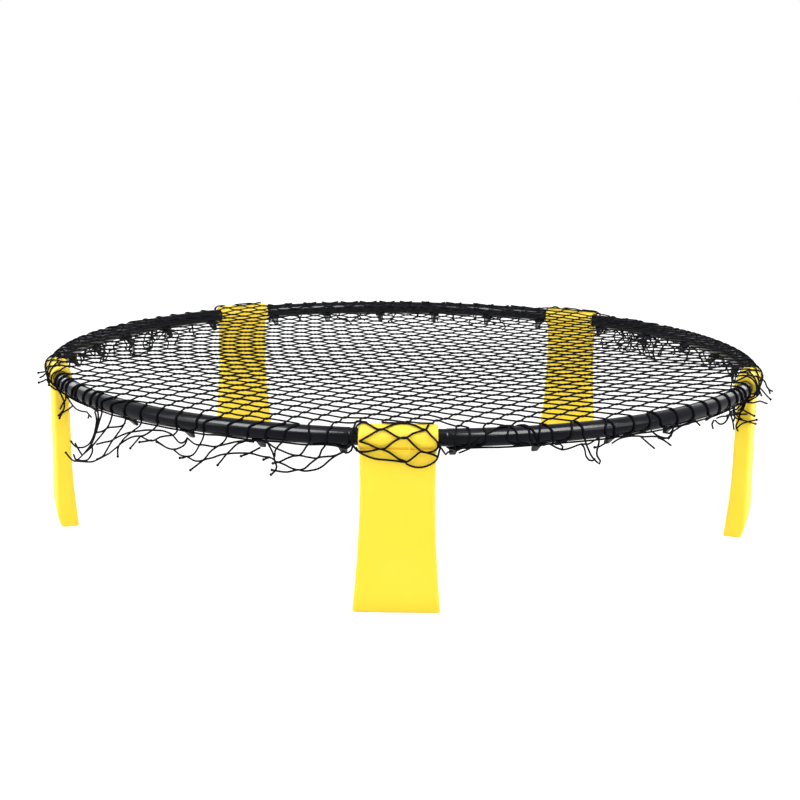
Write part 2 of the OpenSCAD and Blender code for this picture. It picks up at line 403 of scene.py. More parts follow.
@dataclass(frozen=True)
class TwistedTwine:
    """Black twine: the plies of its lay along the UV map's length, and faint worn patches.

    The patches are given as their spots in a metre and their octaves.
    """

    name: str
    colour: Colour
    worn: Colour
    ply_length: float
    plies: float = 3.0
    ply_deep: float = 0.12 * MM
    roughness: float = 0.85
    gloss: float = 0.03
    patches: tuple[float, float] = (160.0, 3.0)
    patch_range: tuple[float, float] = (0.4, 0.7)

    def build(self) -> bpy.types.Material:
        """Makes the finish.

        Returns:
            The material.
        """
        desk = NodeDesk(bpy.data.materials.new(self.name))
        where = desk.add("ShaderNodeTexCoord").outputs["Object"]
        patches = desk.between(desk.noise(where, *self.patches), 0.0, 1.0, *self.patch_range)
        desk.join(desk.mix(patches, self.colour, self.worn), desk.shader.inputs["Base Color"])
        desk.set("Roughness", self.roughness)
        desk.set("Specular IOR Level", self.gloss)
        lay = desk.add("ShaderNodeUVMap", uv_map="Along").outputs["UV"]
        lines = desk.add("ShaderNodeTexWave", wave_type="BANDS", bands_direction="DIAGONAL")
        lines.inputs["Scale"].default_value = 1.0
        stretch = desk.add("ShaderNodeMapping")
        stretch.inputs["Scale"].default_value = (self.plies, self.plies / self.ply_length, 1.0)
        desk.join(lay, stretch.inputs["Vector"])
        desk.join(stretch.outputs["Vector"], lines.inputs["Vector"])
        desk.bump(lines.outputs["Fac"], self.ply_deep)
        return desk.material


BLACK_PLASTIC = MouldedPlastic(
    "satin_black_plastic", (0.002, 0.0023, 0.0045), (0.0042, 0.0046, 0.008), 0.17, 0.23, 0.004 * MM
)
YELLOW_PLASTIC = MouldedPlastic(
    "yellow_plastic", (0.955, 0.69, 0.046), (0.96, 0.71, 0.056), 0.45, 0.55, 0.006 * MM, subsurface=0.04
)
BLACK_TWINE = TwistedTwine("black_twine", (0.0028, 0.003, 0.0042), (0.0055, 0.006, 0.008), 4.5 * MM)


# ---- Ring ---------------------------------------------------------------------


@dataclass(frozen=True)
class RingSizes:
    """Sizes that the tubes, legs and net share.

    The ones from barrel_skin on say how a cord lies. It keeps a skin's thickness off a barrel, and
    beside it comes down to the tube from one distance over another (barrel_slope). It leaves a tube
    or a barrel at a turn from the crest, is tucked in below a barrel, and sways below a tube.
    """

    axis_r: float
    ring_h: float
    ring_r: float = 447 * MM
    tube_r: float = 9.5 * MM
    neck_r: float = 9 * MM
    neck_gap: float = 8.5 * MM
    barrel_half: float = 40 * MM
    barrel_r: float = 13.48 * MM
    barrel_skin: float = 0.4 * MM
    barrel_slope: tuple[float, float] = (1 * MM, 9 * MM)
    neck_ease: float = 0.02
    cord_r: float = 1.04 * MM
    leave_tube: float = math.radians(130)
    leave_barrel: float = math.radians(95)
    tuck: float = 2 * MM
    tuck_over: float = 14 * MM
    sway: float = 2.5 * MM
    sway_wave: float = 31 * MM
    sway_over: float = 30 * MM

    @property
    def shoulder(self) -> float:
        """Distance from a leg's middle to where the tubes' arcs start."""
        return self.barrel_half + self.neck_gap

    @property
    def shoulder_turn(self) -> float:
        """Bearing from a leg's middle to the tubes' shoulders."""
        return math.asin(self.shoulder / self.ring_r)

    @property
    def crest(self) -> float:
        """Height of the cords' middle where they lie on a tube."""
        return self.ring_h + self.tube_r + self.cord_r

    @property
    def barrel_rise(self) -> float:
        """How much further from the axis a cord lies on a barrel than on a tube."""
        return self.barrel_r + self.barrel_skin - self.tube_r

    @property
    def leg_pitch(self) -> float:
        """Millimetres along the rim from one leg to the next."""
        return STEP * self.ring_r / MM

    @staticmethod
    def leg_bearing(k: int) -> float:
        """Bearing of leg k, counted from 0."""
        return FIRST_LEG + STEP * k

    @staticmethod
    def from_leg(bearing: np.ndarray | float) -> np.ndarray | float:
        """Bearing counted from the nearest leg."""
        turn = bearing - FIRST_LEG + STEP / 2
        return turn - STEP * np.floor(turn / STEP) - STEP / 2

    def bearing_at(self, along: float) -> float:
        """Bearing of a place so many millimetres along the rim from leg 1."""
        return FIRST_LEG + along * MM / self.ring_r

    def along_at(self, bearing: float) -> float:
        """Millimetres along the rim from leg 1 to a bearing, the shorter way round."""
        return math.remainder(bearing - FIRST_LEG, TURN) * self.ring_r / MM

    def rod(self, bearing: float) -> tuple[np.ndarray, np.ndarray, float]:
        """What a cord lies on at a bearing: a tube, a neck or a barrel.

        Args:
            bearing: Where round the ring.

        Returns:
            The middle of the rod, the level way outward from it, and the radius a cord keeps.
        """
        turn = float(self.from_leg(bearing))
        leg = bearing - turn
        straight = 1 - smooth((abs(turn) - self.shoulder_turn) / self.neck_ease)
        away = leg + turn * (1 - straight)
        reach = self.axis_r / math.cos(turn) if abs(turn) < self.shoulder_turn else self.ring_r
        beside = abs(self.axis_r * math.tan(turn))
        slope_from, slope_over = self.barrel_slope
        on_barrel = 1 - smooth((beside - self.barrel_half - slope_from) / slope_over)
        radius = self.tube_r + self.barrel_rise * on_barrel
        middle = reach * level_ways(bearing)[0] + self.ring_h * UP
        return middle, level_ways(away)[0], radius + self.cord_r

    def around(self, bearing: float, angle: float, lift: float = 0.0) -> np.ndarray:
        """A point on a rod's skin.

        Args:
            bearing: Where round the ring.
            angle: Turn from the crest outward and down.
            lift: How far the point stands off the skin.

        Returns:
            The point.
        """
        middle, out, radius = self.rod(bearing)
        return middle + (radius + lift) * (math.sin(angle) * out + math.cos(angle) * UP)

    def drape(self, along: float, drop: float, lift: float = 0.0) -> np.ndarray:
        """A point of a cord that is laid over a rod and then hangs.

        Args:
            along: How far round the rim from leg 1, counterclockwise.
            drop: How far down the cord from the rod's crest.
            lift: How far the point stands off outward.

        Returns:
            The point.
        """
        bearing = FIRST_LEG + along / self.ring_r
        middle, out, radius = self.rod(bearing)
        share = min(1.0, max(0.0, (radius - self.tube_r - self.cord_r) / self.barrel_rise))
        leave = self.leave_tube + (self.leave_barrel - self.leave_tube) * share
        angle = drop / radius
        if angle <= leave:
            return self.around(bearing, angle, lift)
        below = drop - leave * radius
        away = radius * math.sin(leave) - self.tuck * share * smooth(below / self.tuck_over)
        wave = self.sway * math.sin(along / self.sway_wave)
        away += (1 - share) * wave * smooth(below / self.sway_over)
        return middle + (away + lift) * out + (radius * math.cos(leave) - below) * UP

    def clear(self, point: np.ndarray) -> np.ndarray:
        """Moves a cord's point out of the rod that it would cut into.

        Args:
            point: The point.

        Returns:
            The point itself, or the nearest one on the rod's skin.
        """
        middle, out, radius = self.rod(math.atan2(point[1], point[0]))
        side, rise = float((point - middle) @ out), float(point[2] - middle[2])
        reach = math.hypot(side, rise)
        if reach >= radius or reach == 0:
            return point
        return point + (radius / reach - 1) * (side * out + rise * UP)


@dataclass
class RimTube:
    """One of the ring's tubes, with its necks and its net hooks.

    A bevel leads from the neck to the tube in steps: a share of its length, and how far out from the
    neck. A hook springs from the tube between two turns from the level way outward, and its half
    widths are the root's and the tip's. corner_power makes its section squarer than an ellipse. A
    turn of cord keeps its middle loop_off cord radiuses off the hook's skin.
    """

    sizes: RingSizes
    index: int
    sides: int = 56
    arc_steps: int = 84
    neck_stations: tuple[float, ...] = (0.5 * MM, 20 * MM, 36 * MM)
    neck_ends: tuple[float, ...] = (1.0 * MM, 0.2 * MM)
    bevel: float = 0.6 * MM
    bevel_steps: tuple[tuple[float, float], ...] = ((0.0, 0.0), (0.05, 0.25 * MM), (0.4, 0.43 * MM))
    hooks: int = 6
    hook_end: float = 8.2 * MM
    hook_from: float = math.radians(-58)
    hook_to: float = math.radians(-137)
    hook_sink: float = 1.4 * MM
    hook_half: tuple[float, float] = (6.35 * MM, 3.55 * MM)
    hook_tip_r: float = 1.6 * MM
    hook_lean: float = 12 * MM
    hook_drop: float = 11.5 * MM
    hook_sides: int = 24
    hook_levels: int = 10
    tip_levels: int = 5
    tip_turns: tuple[float, float] = (0.35, 1.5)
    corner_power: float = 0.45
    loop_off: float = 1.1
    loop_points: int = 13
    sharp: float = 38.0

    def path(self) -> list[tuple[float, float, float]]:
        """Stations along the tube.

        Returns:
            Each station's bearing, its middle's distance from Z, and its radius.
        """
        s = self.sizes
        half, bevel = s.shoulder_turn, self.bevel / s.ring_r
        start = s.leg_bearing(self.index)
        neck = [*self.neck_stations, *(s.shoulder - y for y in self.neck_ends)]
        turns = [math.atan(y / s.axis_r) for y in neck]
        first = [(turn, s.axis_r / math.cos(turn), s.neck_r) for turn in turns]
        first += [(half + share * bevel, s.ring_r, s.neck_r + out) for share, out in self.bevel_steps]
        arc = np.linspace(half + bevel, STEP - half - bevel, self.arc_steps)
        middle = [(float(t), s.ring_r, s.tube_r) for t in arc]
        last = [(STEP - t, r, w) for t, r, w in reversed(first)]
        return [(start + t, r, w) for t, r, w in first + middle + last]

    def tube_rings(self) -> np.ndarray:
        """The tube's skin.

        Returns:
            Rings of points along the tube, as an array of (rings, points, 3).
        """
        stations = self.path()
        line = np.array([r * level_ways(b)[0] + self.sizes.ring_h * UP for b, r, _ in stations])
        way = np.gradient(line, axis=0)
        way /= np.linalg.norm(way, axis=1)[:, None]
        out = np.stack([way[:, 1], -way[:, 0], np.zeros(len(way))], 1)
        angle = np.linspace(0, TURN, self.sides, endpoint=False)[None, :, None]
        radius = np.array([w for _, _, w in stations])[:, None, None]
        return line[:, None, :] + radius * (np.cos(angle) * out[:, None, :] + np.sin(angle) * UP)

    def hook_section(self, share: float) -> tuple[np.ndarray, np.ndarray, float]:
        """A cut through a hook in its side view, outward and up from the tube's middle.

        Args:
            share: How far down the hook, from 0 inside the tube to 1 at the tip's middle.

        Returns:
            The cut's middle, the way from there to its outer end, and the hook's half width.
        """
        s = self.sizes
        tip = np.array([-self.hook_lean, -s.tube_r - self.hook_drop + self.hook_tip_r])
        outer_root, inner_root = (
            (s.tube_r - self.hook_sink) * np.array([math.cos(a), math.sin(a)])
            for a in (self.hook_from, self.hook_to)
        )
        diagonal = self.hook_tip_r * math.sqrt(0.5)
        outer = outer_root + share * (tip + np.array([diagonal, -diagonal]) - outer_root)
        inner = inner_root + share * (tip + np.array([-diagonal, diagonal]) - inner_root)
        half = self.hook_half[0] + share * (self.hook_half[1] - self.hook_half[0])
        return (outer + inner) / 2, (outer - inner) / 2, half

    def hook_ring(self, bearing: float, share: float, scale: float, ahead: float) -> list[np.ndarray]:
        """One ring of a hook's skin.

        Args:
            bearing: Where round the ring the hook stands.
            share: How far down the hook the ring lies.
            scale: The ring's size against the hook's cut there.
            ahead: How far the ring lies past the cut.

        Returns:
            Its points.
        """
        s = self.sizes
        middle, reach, half = self.hook_section(share)
        beyond = np.array([reach[1], -reach[0]]) / np.linalg.norm(reach) * ahead
        out, across = level_ways(bearing)
        ring = []
        for a in np.linspace(0, TURN, self.hook_sides, endpoint=False):
            round_point = (math.cos(a), math.sin(a))
            u, v = (math.copysign(abs(f) ** self.corner_power, f) * scale for f in round_point)
            x, z = middle + reach * v + beyond
            ring.append(out * (s.ring_r + x) + UP * (s.ring_h + z) + across * half * u)
        return ring

    def hook_rings(self, bearing: float) -> np.ndarray:
        """A hook's skin, from inside the tube to its rounded tip.

        Args:
            bearing: Where round the ring the hook stands.

        Returns:
            Rings of points, as an array of (rings, points, 3).
        """
        shares = np.linspace(0, 1, self.hook_levels)
        rings = [self.hook_ring(bearing, float(t), 1.0, 0.0) for t in shares]
        for a in np.linspace(*self.tip_turns, self.tip_levels):
            rings.append(self.hook_ring(bearing, 1.0, math.cos(a), self.hook_tip_r * math.sin(a)))
        return np.array(rings)

    def hook_loop(self, bearing: float, share: float, tilt: float) -> np.ndarray:
        """A closed turn of cord round a hook.

        Args:
            bearing: Where round the ring the hook stands.
            share: How far down the hook the turn lies.
            tilt: How far the turn leans, in metres up on one side.

        Returns:
            Points of the turn.
        """
        s = self.sizes
        middle, reach, half = self.hook_section(share)
        off = self.loop_off * s.cord_r
        reach = reach * (1 + off / np.linalg.norm(reach))
        out, across = level_ways(bearing)
        turn = []
        for a in np.linspace(0, TURN, self.loop_points):
            x, z = middle + reach * math.cos(a)
            side = across * (half + off) * math.sin(a)
            turn.append(out * (s.ring_r + x) + side + UP * (s.ring_h + z + tilt * math.sin(a)))
        return np.array(turn)

    def hook_bearings(self) -> list[float]:
        """Where the tube's hooks stand.

        Returns:
            Their bearings.
        """
        s = self.sizes
        first = s.shoulder_turn + self.hook_end / s.ring_r
        turns = np.linspace(first, STEP - first, self.hooks)
        return [s.leg_bearing(self.index) + float(t) for t in turns]

    def build(self, material: bpy.types.Material) -> bpy.types.Object:
        """Makes the tube and lets it ride on the ring.

        Args:
            material: Its finish.

        Returns:
            The tube.
        """
        pile = MeshPile()
        pile.loft(self.tube_rings())
        for bearing in self.hook_bearings():
            pile.loft(self.hook_rings(bearing))
        name = f"rim_tube_{self.index + 1}"
        tube = show(f"{name}_finished", pile.mesh(name, self.sharp), material)
        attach(tube, Body.RING.value)
        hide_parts(name)
        LOG.info("%s: %d faces", name, len(tube.data.polygons))
        return tube


# ---- Legs ------------------------------------------------------------------------


@dataclass
class Leg:
    """One flat leg with the barrel that turns on the ring.

    It is made with its barrel's axis along Y and then set in its place. The toe_ sizes say how far
    the inner face comes in at the floor, from which share of the waist's height, and by what power.
    """

    sizes: RingSizes
    index: int
    top_half: float = 39 * MM
    waist_half: float = 38 * MM
    waist_h: float = 139 * MM
    foot_half: float = 45.5 * MM
    flare: float = 1.8
    face_out: float = 10 * MM
    face_in: float = 9 * MM
    heel_out: float = 1.2 * MM
    heel_h: float = 20 * MM
    heel_turn: float = 4.5 * MM
    toe_in: float = 5 * MM
    toe_from: float = 0.6
    toe_power: float = 1.6
    edge_round: float = 4 * MM
    foot_round: float = 1.5 * MM
    barrel_round: float = 1.6 * MM
    bore_r: float = 9.08 * MM
    bore_chamfer: float = 0.3 * MM
    web_at: float = 11.5 * MM
    web_half: float = 0.8 * MM
    web_past: float = 0.3 * MM
    web_sink: float = 0.6 * MM
    ledge_drop: float = 10.28 * MM
    ledge_out: float = 1.5 * MM
    ledge_deep: float = 6 * MM
    ledge_round: float = 0.7 * MM
    ledge_turns: tuple[float, ...] = (0.5, 1.0, math.pi / 2)
    corner_steps: int = 9
    foot_steps: int = 5
    face_steps: int = 40
    ledge_steps: int = 8
    barrel_sides: int = 96
    barrel_steps: int = 5
    round_steps: int = 7
    sharp: float = 50.0

    @property
    def ledge_h(self) -> float:
        """Height of the ledge's top, just under the barrel's bore."""
        return self.sizes.ring_h - self.ledge_drop

    def half_width(self, z: float) -> float:
        """Half of the leg's width.

        Args:
            z: The height it is taken at.

        Returns:
            The half width.
        """
        if z < self.waist_h:
            foot = (1 - z / self.waist_h) ** self.flare
            return self.waist_half + (self.foot_half - self.waist_half) * foot
        share = (z - self.waist_h) / (self.ledge_h - self.waist_h)
        return self.waist_half + (self.top_half - self.waist_half) * share

    def outer(self, z: float) -> float:
        """Where the outer face stands.

        Args:
            z: The height it is taken at.

        Returns:
            Its distance outward from the barrel's axis.
        """
        if z < self.heel_h:
            return self.face_out + self.heel_out - self.heel_turn * (1 - z / self.heel_h) ** 2
        ledge = self.ledge_out * max(0.0, 1 - (self.ledge_h - z) / self.ledge_deep) ** 2
        flare = self.heel_out * max(0.0, 1 - (z - self.heel_h) / (self.waist_h - self.heel_h)) ** 2
        return self.face_out + flare + ledge

    def inner(self, z: float) -> float:
        """Where the inner face stands at a height, outward from the barrel's axis."""
        toe = max(0.0, 1 - z / (self.toe_from * self.waist_h)) ** self.toe_power
        return -self.face_in - self.toe_in * toe

    def level(self, z: float, inset: float) -> np.ndarray:
        """One level of the leg's body: a rectangle with rounded corners.

        Args:
            z: Its height.
            inset: How far it is drawn in on every side.

        Returns:
            Its points, as an array of (points, 3).
        """
        x0, x1 = self.inner(z) + inset, self.outer(z) - inset
        w, r = self.half_width(z) - inset, self.edge_round - inset
        corners = [(x1 - r, w - r, 0), (x0 + r, w - r, 1), (x0 + r, r - w, 2), (x1 - r, r - w, 3)]
        turn = math.pi / 2
        return np.array([
            [cx + r * math.cos(q * turn + a), cy + r * math.sin(q * turn + a), z]
            for cx, cy, q in corners
            for a in np.linspace(0, turn, self.corner_steps)
        ])

    def body_rings(self) -> np.ndarray:
        """The skin of the leg's body.

        Returns:
            Levels from the floor up to the ledge's top, as an array of (levels, points, 3).
        """
        top, edge, foot = self.ledge_h, self.ledge_round, self.foot_round
        levels = [
            self.level(foot * (1 - math.cos(a)), foot * (1 - math.sin(a)))
            for a in np.linspace(0, math.pi / 2, self.foot_steps)
        ]
        face = np.linspace(foot, top - self.ledge_deep, self.face_steps)[1:]
        ledge = np.linspace(top - self.ledge_deep, top - edge, self.ledge_steps)[1:]
        levels += [self.level(z, 0.0) for z in np.concatenate([face, ledge])]
        for a in self.ledge_turns:
            levels.append(self.level(top - edge * (1 - math.sin(a)), edge * (1 - math.cos(a))))
        return np.array(levels)

    def barrel_rings(self) -> np.ndarray:
        """The barrel's skin, out over its rounded ends and into its bore.

        Returns:
            Rings of points along its axis, as an array of (rings, points, 3).
        """
        s = self.sizes
        b, r = self.barrel_round, s.barrel_r
        side = [(y, r) for y in np.linspace(0, s.barrel_half - b, self.barrel_steps)[:-1]]
        turns = np.linspace(0, math.pi / 2, self.round_steps)
        end = [(s.barrel_half - b + b * math.sin(a), r - b + b * math.cos(a)) for a in turns]
        bore, chamfer = self.bore_r, self.bore_chamfer
        mouth = [(s.barrel_half, bore + chamfer), (s.barrel_half - chamfer, bore)]
        half = side + end + mouth
        profile = [(-y, w) for y, w in reversed(half[1:])] + half
        angle = np.linspace(0, TURN, self.barrel_sides, endpoint=False)
        return np.array([
            [[w * math.cos(a), y, s.ring_h + w * math.sin(a)] for a in angle] for y, w in profile
        ])

    def web_rings(self) -> np.ndarray:
        """The small upright web in the gap between the barrel and the ledge.

        Returns:
            Its lower and its upper end, as an array of (2, 4, 3).
        """
        near, far = self.bore_r, self.face_out + self.ledge_out + self.web_past
        low = self.ledge_h - self.web_sink
        high = self.sizes.ring_h - math.sqrt(self.sizes.barrel_r**2 - far**2) + self.web_sink
        left, right = self.web_at - self.web_half, self.web_at + self.web_half
        corners = [(near, left), (far, left), (far, right), (near, right)]
        return np.array([[[x, y, z] for x, y in corners] for z in (low, high)])

    def build(self, material: bpy.types.Material) -> bpy.types.Object:
        """Makes the leg in its place and lets it ride on its own body.

        Args:
            material: Its finish.

        Returns:
            The leg.
        """
        pile = MeshPile()
        pile.loft(self.body_rings())
        barrel = self.barrel_rings()
        pile.loft(np.concatenate([barrel, barrel[:1]]), caps=False)
        pile.loft(self.web_rings())
        name = f"leg_{self.index + 1}"
        mesh = pile.mesh(name, self.sharp)
        place = Matrix.Rotation(self.sizes.leg_bearing(self.index), 4, "Z")
        mesh.transform(place @ Matrix.Translation((self.sizes.axis_r, 0, 0)))
        leg = show(f"{name}_finished", mesh, material)
        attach(leg, Body.LEG.value.format(self.index + 1))
        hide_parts(name)
        LOG.info("%s: %d faces", name, len(mesh.polygons))
        return leg


# ---- Net ---------------------------------------------------------------------------


@dataclass(frozen=True)
class CordFamily:
    """One of the net's two families of cords.

    The number of the cord that passes through a point is a sum of powers of the point's x and y,
    in ring radiuses. The first two terms set the meshes' size and slant, and the others how the
    strained net bows and fans out.
    """

    x: float
    y: float
    xx: float
    xy: float
    yy: float
    xxx: float
    xxy: float
    xyy: float
    yyy: float
    rim: float
    start: float

    def number(self, x: np.ndarray, y: np.ndarray) -> np.ndarray:
        """Numbers of the cords through points.

        Args:
            x: The points' x in ring radiuses.
            y: Their y.

        Returns:
            The numbers, whole where a cord passes.
        """
        return (
            self.x * x + self.y * y + self.xx * x * x + self.xy * x * y + self.yy * y * y
            + self.xxx * x**3 + self.xxy * x * x * y + self.xyy * x * y * y + self.yyy * y**3
            + self.rim * (x * x + y * y) ** 2 + self.start
        )


RISING = CordFamily(13.9, -14.3, 2.9, -1.0, 2.8, 0.1, -0.2, 3.0, 2.3, -2.0, -0.05)
FALLING = CordFamily(8.6, 17.9, -3.4, 2.1, -3.8, -1.0, 1.5, 1.9, -1.0, 1.5, -0.27)


@dataclass
class CordEnd:
    """Where a cord of the flat net reaches the ring's crest, and where it settles further out."""

    bearing: float
    settled: float = 0.0


@dataclass
class NetCord:
    """A cord's way across the flat net, and its two ends on the rim."""

    flat: list[np.ndarray]
    ends: tuple[CordEnd, CordEnd]


class Tip(Enum):
    """How a strand of the net's edge starts or ends."""

    NET = "carries on a cord of the strained net"
    KNOT = "tied off in a small knot"
    PLAIN = "lies against another cord or a hook, or is cut off"


@dataclass(frozen=True)
class Strand:
    """A strand of the net's edge.

    Its points are in millimetres: along the rim from leg 1, counterclockwise, then down from the
    crest over the tube or barrel, and a third number where it stands off outward. A hanging
    strand's points are along the rim, outward from the rod's middle, and up from the floor.
    """

    start: Tip
    end: Tip
    points: tuple[tuple[float, ...], ...]
    hanging: bool = False

    def shifted(self, along: float, side: int, reach: float) -> "Strand":
        """The same strand at another leg, mirrored where side is -1, its drops scaled by reach."""
        points = tuple((along + side * p[0], reach * p[1], *p[2:]) for p in self.points)
        return Strand(self.start, self.end, points)


def free(*points: tuple[float, ...]) -> Strand:
    """A strand that lies loose at both ends."""
    return Strand(Tip.PLAIN, Tip.PLAIN, points)


def tied(*points: tuple[float, ...]) -> Strand:
    """A strand with a knot at its end."""
    return Strand(Tip.PLAIN, Tip.KNOT, points)


def carried(*points: tuple[float, ...]) -> Strand:
    """A strand that carries on a cord of the net."""
    return Strand(Tip.NET, Tip.PLAIN, points)


def carried_tied(*points: tuple[float, ...]) -> Strand:
    """A strand that carries on a cord of the net, with a knot at its end."""
    return Strand(Tip.NET, Tip.KNOT, points)


def tail(*points: tuple[float, float, float]) -> Strand:
    """A hanging strand."""
    return Strand(Tip.PLAIN, Tip.PLAIN, points, hanging=True)


def tied_tail(*points: tuple[float, float, float]) -> Strand:
    """A hanging strand with a knot at its end."""
    return Strand(Tip.PLAIN, Tip.KNOT, points, hanging=True)


# The net's loops over a barrel, as they lie on leg 1.
OVER_BARREL = (
    free((-43, 14), (-41, 7), (-35, 1), (-28, 7), (-21, 12), (-14, 12), (-6, 17), (2, 21), (8, 20),
         (15, 27), (23, 34), (29, 36), (36, 38), (40, 40)),
    free((-39, 25), (-29, 19), (-21, 14), (-14, 11), (-8, 7), (-1, 3), (7, 2), (15, 5), (24, 11), (28, 12),
         (33, 18), (39, 24), (40, 30), (36, 34), (29, 36), (23, 35), (18, 39), (12, 44), (7, 46), (-1, 45),
         (-12, 44), (-23, 43), (-32, 40), (-39, 36), (-42, 31)),
    free((31, 1), (30, 6), (28, 11), (24, 13), (15, 16), (8, 21), (2, 21), (-6, 26), (-13, 32), (-20, 33),
         (-27, 35), (-34, 36), (-41, 35), (-44, 29), (-49, 22)),
    free((-38, 25), (-29, 28), (-21, 32), (-13, 34), (-6, 38), (1, 43), (7, 45), (9, 48), (17, 51),
         (25, 51), (33, 48), (39, 43), (41, 36), (42, 31), (41, 26)),
    free((-45, 26), (-47, 31), (-52, 33), (-55, 30)),
    free((42, 29), (45, 31), (48, 33), (50, 30), (54, 29)),
)

# Where cords of the flat net run into those loops.
BARREL_CATCHES = ((-35, 1), (3, 2), (31, 1))

# Loose meshes, tails and hook cords to the left of leg 1.
LEFT_EDGE = (
    carried_tied((-360, 22), (-362, 28), (-367, 38), (-373, 50), (-386, 66), (-398, 75), (-415, 86),
                 (-437, 98), (-447, 101), (-460, 100), (-473, 97)),
    tied((-377, 28), (-373, 36), (-375, 46), (-381, 57), (-393, 68), (-410, 76), (-425, 80), (-437, 82),
         (-446, 81), (-453, 79)),
    carried((-370, 28), (-369, 38), (-373, 47), (-381, 59), (-387, 67), (-385, 74), (-390, 81), (-401, 89),
            (-418, 94), (-437, 97)),
    carried((-341, 24), (-343, 30), (-347, 38), (-359, 50), (-375, 62), (-386, 70), (-398, 77), (-415, 86)),
    free((-318, 31), (-324, 35), (-335, 38), (-348, 41), (-359, 47), (-372, 51)),
    free((-440, 78), (-430, 83), (-420, 87)),
    free((-447, 93), (-442, 97), (-436, 99)),
    carried_tied((-317, 26), (-320, 33), (-325, 39), (-333, 48), (-341, 56), (-350, 66), (-359, 75),
                 (-373, 82)),
    carried((-291, 24), (-294, 30), (-303, 36), (-314, 44), (-321, 50), (-326, 56), (-336, 63), (-345, 69),
            (-359, 76), (-370, 81), (-384, 87), (-399, 91), (-418, 95), (-447, 101)),
    free((-227, 33), (-230, 37), (-235, 40), (-240, 39), (-246, 33), (-252, 31), (-260, 30), (-269, 31),
         (-284, 33), (-300, 37), (-311, 40), (-323, 45), (-335, 51), (-343, 55), (-356, 59), (-374, 65)),
    carried((-240, 22), (-239, 26), (-242, 30), (-246, 33)),
    carried((-266, 23), (-269, 27), (-274, 31), (-280, 35), (-287, 39), (-293, 41), (-303, 43), (-314, 48),
            (-325, 55)),
    tied((-293, 41), (-296, 44), (-302, 50), (-309, 57)),
    tied((-325, 54), (-329, 60), (-330, 65), (-330, 70)),
    free((-293, 41), (-286, 43), (-278, 44), (-272, 42), (-265, 38), (-255, 35), (-246, 33)),
    tied((-277, 43), (-287, 46), (-295, 48)),
    free((-272, 42), (-265, 45), (-258, 48), (-251, 49), (-244, 48), (-237, 45), (-231, 41), (-228, 36),
         (-227, 33)),
    tied((-253, 49), (-258, 48), (-264, 46), (-270, 44)),
    carried((-205, 23), (-206, 29), (-209, 35), (-213, 41), (-218, 48), (-223, 52), (-230, 54), (-237, 54),
            (-242, 52), (-247, 49)),
    tied((-230, 54), (-234, 56), (-239, 57)),
    free((-122, 47), (-125, 44), (-130, 42), (-136, 42), (-143, 41), (-150, 40), (-163, 41), (-175, 43),
         (-186, 46), (-195, 50), (-204, 53), (-211, 56), (-218, 57), (-223, 56), (-229, 54)),
    carried_tied((-177, 23), (-179, 28), (-182, 32), (-187, 36), (-193, 40), (-199, 45), (-203, 50),
                 (-208, 55), (-217, 62), (-225, 68)),
    free((-227, 33), (-221, 37), (-215, 39), (-208, 38), (-200, 38), (-193, 38), (-186, 36), (-180, 34),
         (-174, 32), (-168, 30), (-158, 28), (-147, 28)),
    carried_tied((-154, 23), (-157, 28), (-166, 32), (-172, 38), (-178, 44), (-183, 50), (-189, 57)),
    tied((-140, 33), (-145, 36), (-150, 39), (-154, 41), (-161, 44)),
    tied((-129, 42), (-132, 43), (-136, 45)),
    carried_tied((-134, 23), (-130, 31), (-127, 36), (-125, 41), (-124, 46), (-122, 51), (-124, 56),
                 (-128, 60)),
    free((-136, 27), (-131, 28), (-126, 31), (-121, 33), (-115, 35), (-109, 37), (-103, 38), (-97, 38),
         (-91, 39), (-82, 40)),
    carried((-114, 21), (-116, 25), (-120, 29), (-124, 35), (-124, 41)),
    carried_tied((-88, 23), (-92, 29), (-95, 34), (-99, 38), (-105, 39), (-112, 42), (-119, 46),
                 (-126, 48)),
    carried((-71, 24), (-76, 31), (-78, 37), (-82, 41), (-88, 46), (-93, 51), (-99, 53), (-106, 52),
            (-115, 48), (-122, 46)),
    free((-55, 32), (-60, 35), (-67, 37), (-75, 38), (-82, 40)),
    tied((-57, 33), (-63, 37), (-69, 42), (-74, 47), (-80, 51), (-87, 53), (-94, 54), (-99, 53), (-104, 54),
         (-111, 56), (-118, 56), (-127, 55)),
)

